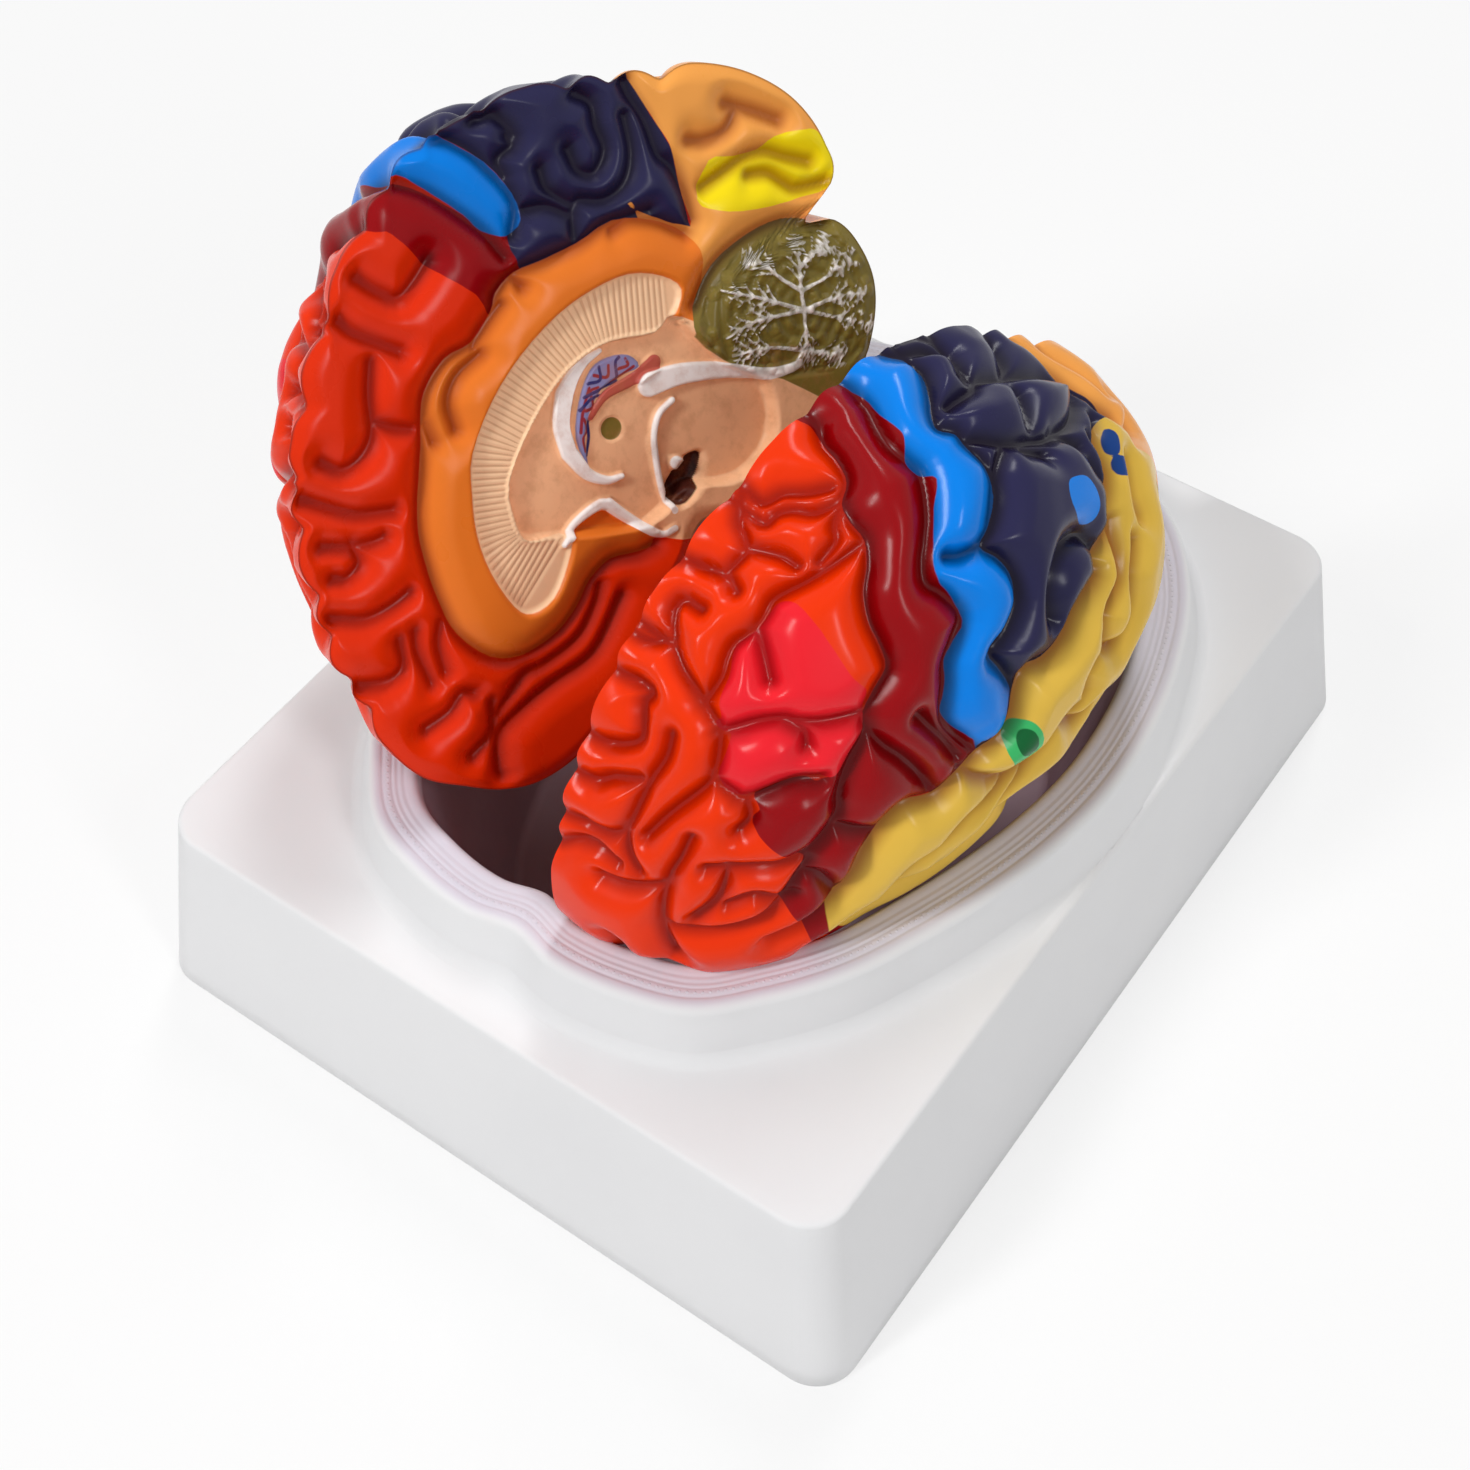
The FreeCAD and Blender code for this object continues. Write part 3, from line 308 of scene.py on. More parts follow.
outerFolds = [
    [(-11, 89), (-9.7, 86)] + redFold,
    navyFold + [(-4, 11)],
    [(40, -10), (33, -8.5), (28.5, -6), (26, -2.5)] + temporalFold + [(-60, 22)],
    [(57.5, 43.5), (60, 38.5), (64.6, 33.2), (67.3, 28.5), (71, 21.5), (74.4, 18.8), (80, 18.5)],
    [(60, 54.5), (62.5, 52), (63.7, 48), (66, 43), (74, 42)],
    [(56, 66.5), (50.5, 64.5), (50, 58), (48.3, 51), (47, 45), (46.5, 41.5), (49.2, 34), (51, 31),
     (54.5, 28.8), (58, 26.8), (61.5, 24.3), (66, 20)],
    [(47, 41.5), (42, 41), (38, 40.5), (34, 39), (31, 36.5), (27, 34), (20.3, 31.2)],
    [(33, 38), (31, 34), (31.5, 31)],
    [(49.7, 31), (47, 27.5), (44.5, 25), (36, 25), (31, 22.5)],
    [(20.6, 30.5), (21.2, 27), (25.3, 23.2), (27.6, 20), (28.9, 16.5), (29.5, 12.5), (32, 9), (35, 7),
     (40, 7.2), (45, 9), (53, 11)],
    [(48.7, 10), (49.5, 6), (51, 2.5), (55, -1.2)],
    [(56, 19), (58, 14.5), (60.3, 10.5), (61.8, 6), (62, 0), (61.3, -5), (58.5, -14)],
    [(61.8, 7.5), (66, 6.8), (72, 6), (78, 6)],
    [(71.4, 20), (70.8, 15), (68.3, 10.3)],
    [(61.5, -3), (56, -4.3), (50, -4.8), (44, -4.5), (39.5, -3), (36, 2.5), (34.5, 5), (35, 7)],
    [(44.5, 25), (44.3, 20.5), (46.5, 18.5)],
    [(79, 32), (74, 33.5), (67, 33.7)],
    [(50.4, 64.5), (48, 69), (46, 72), (43, 73), (40.2, 69.5)],
    [(40, 84), (37, 80.5), (33.8, 77), (31.3, 73.5), (31.2, 69.5)],
    [(31.3, 74.3), (27.5, 75.3), (24, 76.3), (22.3, 79.5), (20.8, 83), (15, 88)],
    [(23, 76), (20.3, 73), (18.2, 70), (17, 66.5)],
    [(17, 79.5), (13, 79), (9.5, 77), (6.3, 73), (1, 70.8)],
    [(3.5, 60.5), (8, 61.2), (17, 62.3), (24.5, 63.4), (28, 61.5), (31.5, 59.8), (36.5, 59),
     (39.5, 56.3), (42, 53), (47.8, 48.8)],
    [(31.2, 59.5), (31.8, 55), (33, 48)],
    [(35, 3), (32.3, 0.5), (28.8, -5.5)],
    [(29.3, 9.8), (26.5, 6.5), (23.5, 3.8)],
    [(-23, 87), (-23, 84), (-21, 79.5), (-17.5, 75), (-15, 70), (-14.3, 65), (-13.5, 60.5),
     (-8.5, 54), (-5, 50.8), (-2, 48), (-0.3, 44.5), (-1.5, 40), (-2, 34), (1, 31.5), (4.3, 29),
     (6.3, 25), (8.3, 21), (9, 16), (6.5, 7)],
    [(12.5, 23), (11.5, 19), (10.2, 14), (9.2, 8)],
    [(-12, 40), (-8, 42.5), (-6, 45)],
    [(-25, 56.5), (-27.5, 53), (-30.5, 48.5), (-34, 45), (-38, 42), (-41.5, 38.7), (-46, 35.5),
     (-51, 32), (-56.5, 29.5), (-64, 27.5), (-67, 31), (-66, 36), (-62.5, 42), (-58.5, 47.5),
     (-54, 52), (-50, 55.5), (-45, 59), (-39, 60.2), (-30, 63.5)],
    [(-54.5, 52), (-60, 51), (-65, 51.3), (-70, 52.3)],
    [(-44, 61), (-47, 64), (-48.7, 68), (-46, 73), (-40, 78)],
    [(-41, 44.5), (-45, 46.5), (-49.5, 48.5)],
    [(-15.8, 15), (-16.5, 18.5), (-18.5, 21.5), (-21.5, 23.5), (-24.5, 24), (-28, 22.6),
     (-30.8, 19.5), (-31.6, 14.5)],
    [(-16, 41.5), (-20.5, 44.8), (-25, 47), (-30, 48)],
    [(-33.5, 43.5), (-36, 40.5), (-37.5, 38)],
    [(-44, 37), (-46.5, 33.5), (-47.3, 28)],
    [(-45.5, 24), (-45, 20.5), (-43.6, 16.5)],
    [(-52.4, 24.4), (-50.3, 19.7), (-48, 17.5)],
    [(-63, 14), (-65, 20), (-69, 27), (-72.5, 33), (-76, 40), (-78, 42)],
    [(-72, 14), (-77, 20), (-81, 27)],
    [(-38.5, 12), (-33, 7.5), (-28.6, 4.6), (-22.6, 4), (-19, -1.2), (-14.9, -1.6), (-12, -5.6),
     (-7.3, -4.4), (-3, -6.8), (1.6, -5.2)],
    [(9.5, 6), (7.5, 2), (4.5, -1.5), (1.6, -5.2)],
    [(1.6, -5.2), (5.4, -5.6), (9, -4.4), (13.2, -6.8), (16.8, -7.2), (19, -9.4), (22, -13), (27, -15)],
    [(-37, 4.4), (-31, 1.8), (-27.2, -3), (-21.5, -4.8), (-19, -1.2)],
    [(-3, -6.8), (0.5, -9.4), (4, -10.6), (9, -14)],
    [(-8, -4.8), (-11, -10), (-16, -11.5)],
    [(-42, 4), (-45, 7), (-52, 10.5)],
    [(34, -18), (25, -16), (15, -19), (3, -17), (-12, -19), (-24, -13), (-38, -12), (-50, -5)],
    [(36, -34), (24, -30), (10, -33), (-6, -30), (-20, -33), (-34, -26), (-50, -22)],
    [(2, -17), (-2, -24), (-6, -30)],
    [(-60, 8), (-66, 4), (-74, 6)],
    [(64, -18), (58, -26), (60, -38), (52, -48)],
    [(74, -12), (70, -24), (72, -34)],
    [(48.5, 1.1), (44, 2), (40, -0.5), (36.5, -1)],
    [(89, 10.6), (85.5, 12.9), (79.3, 13.9), (73.7, 11.1)],
    [(13.6, 83.4), (8.5, 81.6), (4.5, 77.9), (0, 74.5)],
    [(12.7, 63.8), (7.5, 65.1), (5.5, 67.8), (2.4, 70)],
    [(-51.9, 70.4), (-50.8, 65.7), (-41.7, 62.4)],
    [(-43.8, 78.6), (-48.3, 76), (-52.2, 70.8)],
]
# folds of the inner face: ahead and up in mm
innerFolds = [
    [(1.8, -17.9), (5.1, -15.7), (8.8, -11.2), (14.1, -9.5), (19.9, -9.8), (26.3, -8.8), (33.3, -4.8),
     (36.6, 1.3), (35.9, 9.8), (32.4, 16), (26.2, 23.7), (20.3, 28.8), (8.8, 35), (5.1, 37.3),
     (-0.4, 39.9), (-7.5, 39.6), (-12.6, 36.6), (-19.2, 36.1), (-22.7, 37.1), (-27.6, 35.9),
     (-32.7, 31.9), (-38.5, 27.6), (-45.7, 23.6), (-50, 16.6), (-51.4, 9.4)],
    [(-11.6, 34.1), (-6, 36), (-0.9, 35), (2.6, 31.2)],
    [(-21.3, 35.4), (-15.5, 36.4), (-12, 36)],
    [(4.8, 36.7), (6.7, 33.7)],
    [(-26.7, 35.7), (-26.2, 33.4)],
    [(53.5, 24), (50, 18.5), (46, 16.8), (42, 20)],
    [(54.5, 6.4), (49.7, 3.7), (45.4, 3.2), (44, 0.8)],
    [(55.1, -5.3), (49.4, -6.6), (44.2, -3.6)],
    [(45.6, -6), (42.6, -6.1), (36.4, -6.8), (32.9, -9.6), (25.3, -13.2), (18.3, -13), (14.4, -11.8)],
    [(56, -13), (54.9, -11.7), (49.3, -8.4), (43.6, -9.6), (36.3, -12.6), (28.6, -17.1), (23.3, -18),
     (14, -17)],
    [(39.1, 18.1), (42.2, 15.6), (46.3, 9.8)],
    [(35.3, 14.3), (39.3, 12.5), (43.2, 8.4)],
    [(44.2, 34.6), (41.2, 28.4), (36.8, 25), (33.1, 23.3)],
    [(33.3, 42.9), (31, 38.3), (28.2, 34.7), (26.4, 33.2)],
    [(37.5, 38), (36, 35.5), (32.5, 35), (30.5, 38)],
    [(27.5, 51), (26.5, 46), (25, 40), (21, 34)],
    [(20, 51), (19.5, 47), (16, 44.8), (11, 45), (5.5, 49), (0, 52)],
    [(9, 46), (8, 42), (6.5, 38.5)],
    [(-3.5, 61), (-3, 57), (-4.5, 48)],
    [(-11.5, 62), (-11.5, 57), (-13, 53), (-21, 52)],
    [(-29.5, 64), (-31, 58), (-31, 50), (-30.5, 44), (-29, 39)],
    [(-40, 62), (-41, 58), (-41, 52), (-38.5, 43), (-33, 40)],
    [(-46.3, 57.5), (-49, 54.7), (-49, 50.8), (-48.2, 48.8)],
    [(-47.5, 49.9), (-46.4, 48.4), (-43.1, 49.4), (-41.2, 46.7)],
    [(-60.8, 42.7), (-61.1, 38.9), (-58.2, 35.8), (-55.6, 32.1), (-51, 31.6), (-49.8, 34.8),
     (-51.7, 38.5)],
    [(-45.8, 41.4), (-43.7, 38.1), (-43.9, 31.9)],
    [(-62.7, 31.9), (-57.9, 27.1), (-52.7, 25.3), (-48, 27.2), (-44.4, 32.2), (-38.8, 28.6)],
    [(-38.3, 40.2), (-41.1, 36.5), (-42.2, 31.2)],
    [(-69, 37.5), (-66.5, 33.5), (-64.4, 28), (-60.8, 22.4), (-60.2, 18.6), (-57.6, 13.5),
     (-54.2, 9.6)],
    [(-66.1, 18.3), (-67.9, 15.3), (-71.7, 12.6), (-75.8, 12.8)],
    [(-75.7, 15.3), (-77.7, 9.8), (-79.3, 3.8)],
    [(-60.4, 11.1), (-65.6, 8.5), (-69.9, 6.2), (-72.9, 3), (-74.4, -1.3), (-76.3, -6.3)],
    [(-67.4, 3.7), (-69.9, 0.1), (-70.3, -4.2), (-71, -7.2), (-75.5, -12.3)],
    [(-41, 0.2), (-49.3, 0.8), (-58, -2.6), (-64.5, -8), (-68.2, -15)],
    [(-44, 23), (-48, 21), (-51, 18)],
]
underArch = [(9, 0), (12.5, 5), (13.8, 8), (11.3, 12), (6.3, 16.3), (-2.5, 18), (-12.5, 18),
             (-20, 16.3), (-26.3, 12.5), (-32.5, 5), (-37, 3.5)]
callosum = [(25.5, -1), (26, 3), (22.5, 11), (17.5, 17.5), (11.3, 22.5), (5, 26.3), (-5, 28),
            (-15, 27.5), (-25, 25), (-32.5, 21.3), (-38.8, 16.3), (-42, 10),
            (-42, 5)] + underArch[::-1] + [(14, -2.5), (21, -3.5)]
core = underArch + [(-36, -3), (-35, -12), (-36, -22), (-28, -29), (-18, -27), (-11, -18), (-3, -15),
                    (1, -12)]
# edges of the painted areas of the outer side, from the parting line down
edges = {
    "darkRed": [(-7.6, 100), (-7.6, 90), (-8.8, 87)] + redFold + [(14, -20)],
    "blue": [(-22.6, 100), (-22.6, 86.4), (-23.2, 81.5), (-20.3, 76), (-18.8, 71.4), (-17.6, 68.2),
             (-14.4, 65.2), (-13.5, 62.6), (-13.8, 60.2), (-14.4, 57.3), (-10.3, 53.8), (-6.8, 50.2),
             (-3.2, 46.4), (-2.1, 43.2), (-2.4, 39.6), (-2, 32.6), (1.2, 30.8), (4.1, 29), (5.9, 25),
             (7.6, 22), (8.8, 19.6), (8.2, 15.5), (6.2, 10.2), (5.9, 6.7), (5.9, -20)],
    "navy": [(-35, 95)] + navyFold + [(-3.8, 11.4), (-1.2, 7.9), (2.4, 6.4), (5.9, 6.7), (6, -20)],
    "occipital": [(-88, 41), (-80, 41), (-76.5, 41), (-75.5, 44), (-73.5, 36), (-72, 31), (-69, 24),
                  (-65, 17), (-61.5, 14), (-58, 10), (-56, 0), (-54, -20), (-60, -50), (-60, -130),
                  (-140, -60), (-140, 41)],
}
# closed areas of the outer side
lowerDarkRed = [(20.3, 31.2), (21.5, 27.8), (23.8, 25.8), (27, 23.5), (30, 22), (32, 22.3),
                (33.5, 24), (36.5, 25.3), (43, 25.3), (42.5, 22), (44, 19), (40.2, 12.6), (37.3, 7.9),
                (35, 6), (36.5, 3), (39.3, 0.5), (37.8, -3), (35.6, -6.5), (34.2, -10), (33, -26),
                (24, -26), (26, -2.5), (24.5, 1.5), (21.5, 5), (18.2, 6), (14.1, 4.6), (10, 5.5),
                (6, 6.7), (8, 14), (14, 22)]
outerAreas = {
    "pink": [(45, 44.5), (43.5, 49), (40, 53), (38, 57), (36, 59), (31.5, 59.5), (28, 61),
             (24.5, 62), (21.5, 59.5), (20.5, 52), (20.3, 45), (19.8, 40), (18.5, 36), (20, 32.5),
             (20.3, 31), (21.5, 27.8), (24, 25.5), (27, 23.3), (30, 22), (32, 23.5), (36, 25.2),
             (41, 25.8), (45, 25.5), (48, 28), (49.3, 32), (47, 36), (44.5, 40), (46.5, 41.5),
             (47, 44)],
    "temporal": [(30.5, -9), (27.5, -3.5)] + temporalFold + [
        (-60, 20), (-61, 16), (-58, 10), (-56, 0), (-54, -18), (-60, -50), (-60, -110), (10, -110),
        (24, -50), (31, -24)],
    "oval": [(-33, 32.6), (-35.8, 31.4), (-38, 28.2), (-37.6, 24), (-35.2, 21), (-32.6, 20.6),
             (-30.4, 24.6), (-30.4, 29.6)],
}
blueSpots = [[(-57.4, 19.2), (-56.4, 17.2), (-53.5, 16), (-51.6, 16), (-51.7, 18.3), (-54.3, 19.6)],
             [(-50.9, 16.4), (-51.6, 12.9), (-51.6, 9), (-48.2, 11.4), (-47.7, 14.4)]]
# middle, half width and height, and how fast the paint's edge value falls off
greenPatch = {"green": ((-0.6, 2.4), (3.0, 4.4), 4.0), "greenCore": ((-1.0, 2.2), (1.7, 2.8), 2.4)}
stem = {"top": -20.0, "side": 16.0, "along": (-44.0, 4.0)}  # what of the base is painted as the stem

seamRadius = radiusCurve(parting, hub, (1.0, 1 / mapSquash))
flankRadius = radiusCurve([p for p in parting if p[1] > -6] + flankPoints, hub, (1.0, 1 / mapSquash))
longScale = brain["length"] / (max(p[0] for p in parting) - min(p[0] for p in parting))
highScale = brain["height"] / (max(p[1] for p in parting) - brain["baseLevel"])


def placed(ahead, up, out):
    # ahead, up and out of the left half's own frame, which faces -Y with its inner face on X = 0
    return np.stack([out, -ahead * longScale, up * highScale], -1)


def cerebellumReach(direction):
    # distance from the hub to where a ray leaves the ellipsoid, falling off where the ray misses it
    half = np.array([*cerebellum["half"], brain["cerebellumWidth"]])
    start = np.array([*(hub - cerebellum["middle"]), 0.0]) / half
    ray = direction / half
    a = (ray ** 2).sum(-1)
    b = (ray * start).sum(-1)
    c = (start ** 2).sum() - 1.0
    root = b * b - a * c
    miss = np.sqrt(np.maximum(c + 1.0 - b * b / a, 0)) - 1.0
    return np.where(root > 0, (np.sqrt(np.maximum(root, 0)) - b) / a,
                    -b / a * (1.0 - miss / cerebellum["fade"]))


def outerPoint(angle, degrees):
    # radius blends from the parting line's to the flank's; the side rises as a cosine of the map
    # distance and closes in as the root of one less that rise to a power; the cerebellum is where
    # a ray from the hub leaves its ellipsoid further out
    share = ease((90.0 - degrees) / brain["flankBlend"])
    radius = seamRadius(angle) * (1 - share) + flankRadius(angle) * share
    rise = np.cos(np.radians(degrees))
    low = ease(-1.3 * np.sin(angle) - 0.1)  # 1 below the hub, 0 above it
    power = brain["crownPower"] + brain["flankPower"] * low
    reach = radius * np.sqrt(np.maximum(0.0, 1 - np.maximum(rise, 0) ** power))
    way = np.stack([reach * np.cos(angle), mapSquash * reach * np.sin(angle),
                    brain["seamDrop"] + (brain["halfWidth"] - brain["seamDrop"]) * rise], -1)
    length = np.sqrt((way ** 2).sum(-1))
    way = way / length[..., None]
    bulge = cerebellumReach(way) * ease((90.0 - degrees) / brain["cerebellumBlend"])
    far = np.maximum(length, bulge)
    point = placed(hub[0] + way[..., 0] * far, hub[1] + way[..., 1] * far, way[..., 2] * far)
    return point, bulge - length


def mapPoint(spots):
    # point of the unfolded side at a place of the map, none past the parting line
    spots = np.array(spots, float)
    return outerPoint(np.arctan2(spots[:, 1], spots[:, 0]),
                      np.minimum(90.0, np.hypot(spots[:, 0], spots[:, 1])))[0]


def ovalShare(spots, middle, half):
    # 1 in the middle of an oval, falling evenly to 0 at its edge and on below that outside
    return 1 - np.hypot(*((spots - middle) / half).T)


def crease(gap, reach):
    # quarter round with a soft bottom, one at the fold's line
    soft = brain["foldSoftness"]
    t = np.clip(1.0 - np.hypot(gap, soft) / reach, 0.0, 1.0)
    return (1.0 - np.sqrt(1.0 - t * t)) / (1.0 - math.sqrt(1.0 - (1.0 - soft / reach) ** 2))


def runOut(chain):
    # fold line whose ends close to the parting line, at 90, are carried just over it
    past = 91
    ends = []
    for x, y in (chain[0], chain[-1]):
        reach = math.hypot(x, y)
        near = 90 - brain["runOut"] < reach < past
        ends.append([(x * past / reach, y * past / reach)] if near else [])
    return ends[0] + chain + ends[1]


def behind(spots, edge):
    # distance behind an edge that runs down the outer side
    closing = [(-130, edge[-1][1]), (-130, edge[0][1])]
    loop = np.vstack([smoothed(edge, 3), closing])
    return insideBy(spots, loop, 0)


def outerSide():
    # polar grid on the map, a row every part of 90 degrees, pressed in along its normal by the folds
    b = brain
    angle = np.arange(b["angles"]) * turn / b["angles"]
    degrees = 90.0 * np.arange(1, b["outerRings"] + 1) / b["outerRings"]
    theta, phi = np.meshgrid(angle, degrees)
    smooth, excess = outerPoint(theta, phi)
    beside = np.roll(smooth, -1, 1) - np.roll(smooth, 1, 1)
    outward = np.gradient(smooth, axis=0)
    normal = np.cross(outward, beside)
    normal /= np.sqrt((normal ** 2).sum(-1))[..., None] + 1e-12
    normal *= np.sign((normal * (smooth - placed(hub[0], hub[1], 0.0))).sum(-1))[..., None]
    spots = np.stack([phi * np.cos(theta), phi * np.sin(theta)], -1).reshape(-1, 2)
    top, _ = outerPoint(np.zeros(1), np.zeros(1))
    points = np.vstack([top, smooth.reshape(-1, 3)])
    normal = np.vstack([[[1.0, 0, 0]], normal.reshape(-1, 3)])
    spots = np.vstack([[[0.0, 0.0]], spots])
    excess = np.concatenate([[-9.0], excess.ravel()])
    folds = [mapPoint(smoothed(runOut(chain), 4)) for chain in outerFolds]
    gap = chainGap(points, folds, b["gapWidth"])
    inward = 90.0 - np.hypot(spots[:, 0], spots[:, 1])
    fade = b["rimShare"] + (1 - b["rimShare"]) * ease(inward / b["foldFade"])
    cover = ease(0.5 - excess / 3.0)  # the cerebellum has no folds of the lobes
    points = points - normal * (fade * cover * b["foldDepth"] * crease(gap, b["foldReach"]))[:, None]
    swell = ovalShare(spots, b["temporalMiddle"], b["temporalHalf"])
    points = points + normal * (b["temporalSwell"] * ease(2.0 * swell))[:, None]
    points[-b["angles"]:, 0] = b["seamDrop"]
    values = {"gap": np.where(cover > 0.5, gap, b["gapWidth"]),
              "cerebellum": np.clip(excess, -edgeWidth, edgeWidth)}
    for key, edge in edges.items():
        values[key] = behind(spots, edge)
    values["darkRed"] = np.maximum(values["darkRed"], insideBy(spots, lowerDarkRed))
    for key, area in outerAreas.items():
        values[key] = insideBy(spots, area)
    values["spot"] = np.maximum(insideBy(spots, blueSpots[0]), insideBy(spots, blueSpots[1]))
    for key, (middle, half, steep) in greenPatch.items():
        values[key] = np.clip(ovalShare(spots, middle, half) * steep, -edgeWidth, edgeWidth)
    ahead, up = -points[:, 1] / longScale, points[:, 2] / highScale
    back, front = stem["along"]
    within = np.minimum(np.minimum(stem["top"] - up, stem["side"] - points[:, 0]),
                        np.minimum(front - ahead, ahead - back))
    values["stem"] = np.clip(within, -edgeWidth, edgeWidth)
    return points, values


# white and coloured parts inside the arch: route and half width at its start and end
whiteLines = [
    ([(-24, 12.8), (-20.5, 14.6), (-17, 15.1), (-13.5, 14.8)], 0.5, 1.9),
    ([(-13.5, 14.8), (-8.3, 12.2), (-4.6, 8)], 1.9, 1.7),
    ([(-4.6, 8), (-3, 2.5), (-3.8, -2), (-6, -4.5)], 1.7, 0.6),
    ([(11, 0), (6.3, -0.6), (1.3, -3), (0, -5)], 0.6, 1.2),
    ([(0, -5), (0.3, -10), (0, -17), (-2.5, -19)], 1.3, 0.7),
    ([(-23.8, 0), (-28.8, -5), (-33.8, -12.5), (-37.5, -20), (-41.3, -24.4), (-43, -25.4)], 2.5, 0.8),
    ([(-5.5, -17), (-8, -13.5), (-12, -9.5), (-16, -6.3), (-20, -5), (-23.5, -6)], 0.7, 0.7),
    ([(-13.8, -13.5), (-13.8, -14.5)], 1.3, 1.3),
]
treeNode = (-52, -20.6)
treeLimbs = [
    [treeNode, (-55.3, -17.6), (-59.3, -14.2), (-63, -11)],
    [(-54.8, -18), (-54.5, -12.3), (-54.8, -7.6), (-53.6, -3.6)],
    [treeNode, (-50.6, -15.8), (-48.9, -10.2), (-46.1, -2.8)],
    [treeNode, (-48.4, -16.4), (-45, -12.4), (-39, -8.6)], [treeNode, (-47.9, -24.1), (-43.5, -27.6)],
    [(-45.8, -25.8), (-42.9, -19.3), (-40.3, -15.6), (-36.8, -11.6)],
    [(-45.9, -25.7), (-47.3, -29.2), (-49, -34)],
    [treeNode, (-54, -26.4), (-56.2, -32.4), (-57.6, -37.4)],
    [treeNode, (-55.5, -23.5), (-58.7, -26.8), (-62.1, -32.1)],
    [(-54.8, -18), (-59.1, -21), (-63.2, -22.8), (-66.2, -24.6)],
    [(-58.3, -15.1), (-62, -16.2), (-65.8, -18.3)],
]
# twigs leave a limb at shares of its length; spread in degrees, length and half width in mm
treeBranch = {
    "shares": (0.42, 0.58, 0.72, 0.86), "length": (4.6, 4.8, 4.2, 3.2), "spread": 34.0, "width": 0.3,
    "turns": (0.3, -0.8), "twig": 0.62, "tip": 0.33,
}
redVessels = [
    [(-6.5, 5), (-8.3, 6.8), (-10, 6.6), (-11.5, 8.8)],
    [(-13, 9.2), (-14.5, 8.2), (-16.5, 10.4), (-18, 9.4)], [(-19.5, 11.4), (-20.6, 8.8), (-22.6, 9.8)],
    [(-23, 7.6), (-24.6, 6.2), (-25.4, 7.4)], [(-9, 7.9), (-12.4, 9.6), (-17, 11)],
    [(-20, 7.4), (-23, 6), (-25, 5)],
]
blueVessels = [
    [(-6, 4.2), (-9.2, 5.6), (-12.2, 7.8), (-14, 7.2)], [(-12.5, 10.3), (-15.6, 9.4), (-17.2, 7.6)],
    [(-17.6, 11.6), (-19.4, 9.8), (-21.4, 11.4)], [(-21.6, 7), (-23.8, 8.8), (-25, 8.6)],
    [(-15, 10.9), (-18.4, 8.4), (-21, 6.4)],
]
backEdge = [(-53, 9), (-57, 13.5), (-62, 19.5), (-65.5, 27), (-69, 36), (-71, 41)]  # navy ends there
# areas of the inner face; treeArea is the ground of the tree, core the tan paint of core and stem
innerAreas = {
    "darkRed": [(-17.5, 80), (-17.5, 70.6), (-20, 63.8), (-21.3, 61), (-20, 51.3), (-20.3, 41.3),
                (-19, 34), (-30, 29), (-33.5, 36), (-33, 42), (-31.3, 45), (-31.3, 50), (-30.6, 58.8),
                (-28.8, 65), (-26.3, 67.5), (-26.3, 80)],
    "blue": [(-26.3, 80), (-26.3, 70), (-30.6, 65), (-31.3, 58.8), (-31.3, 50), (-30.6, 45.6),
             (-32.5, 40.6), (-36.3, 40), (-39.4, 43.8), (-41.3, 51.3), (-40.6, 61), (-39.4, 66),
             (-37.5, 69.4), (-37.5, 80)],
    "navy": [(-30, 80), (-38, 69.4), (-40.6, 61), (-41.3, 51.3), (-39.4, 43.8), (-36.3, 40),
             (-32.5, 40.6), (-30, 37.5), (-30, 30), (-50, 8)] + backEdge + [(-80, 50), (-60, 80)],
    "occipital": [(-49.5, 22)] + backEdge + [(-82, 50), (-100, 30), (-100, -30), (-60, -30), (-42, -4),
                                             (-42, 8), (-50, 21)],
    "callosum": callosum,
    "cingulate": innerFolds[0] + [(-48.9, 3.9), (-42, -2), (-30, -10), (-4, -14)],
    "yellow": [(-64.9, 13.2), (-68.4, 8.7), (-72.4, 4.4), (-76, 3.3), (-81.1, -2.1), (-81.5, -5.9),
               (-79.1, -10.3), (-74.8, -12.9), (-70.1, -8.8), (-62.6, -0.5), (-58.3, 6.3),
               (-57.8, 10.7)],
    "cerebellum": [(-36, -3), (-41, 0), (-49.3, 0.8), (-58, -2.6), (-64.5, -7.6), (-69, -15),
                   (-76, -20), (-76, -45), (-50, -56), (-41, -40), (-38.5, -24), (-35.6, -15)],
    "core": underArch + [(-38.5, -2), (-40, -10), (-46, -24), (-46, -34), (-44, -48), (-34, -58),
                         (-22, -58), (-13, -43), (-6, -31), (-2, -23), (0.5, -17), (0.8, -10),
                         (1.6, -4.4)],
    "treeArea": [(-36.8, -2.9), (-41.5, -1), (-49.3, -0.6), (-57.7, -3.8), (-63.5, -8.8),
                 (-67.3, -15.5), (-68.2, -22.4), (-67.2, -29.7), (-63.6, -34.8), (-59, -38.7),
                 (-53.4, -38.2), (-47.1, -35), (-42, -29.1), (-38, -22.6), (-35.2, -15.4),
                 (-34.8, -8.6)],
    "plexus": [(-4.4, 3), (-7.5, 8), (-13.8, 11.3), (-20, 12.5), (-23.8, 10.6), (-26.3, 7),
               (-25.6, 3.8), (-22, 6.4), (-18, 8.4), (-12.6, 8.2), (-8, 6)],
    "hollow": [(-6.5, -16), (-10, -14.5), (-16, -15.5), (-18, -18), (-14, -19.5), (-8, -19)],
}
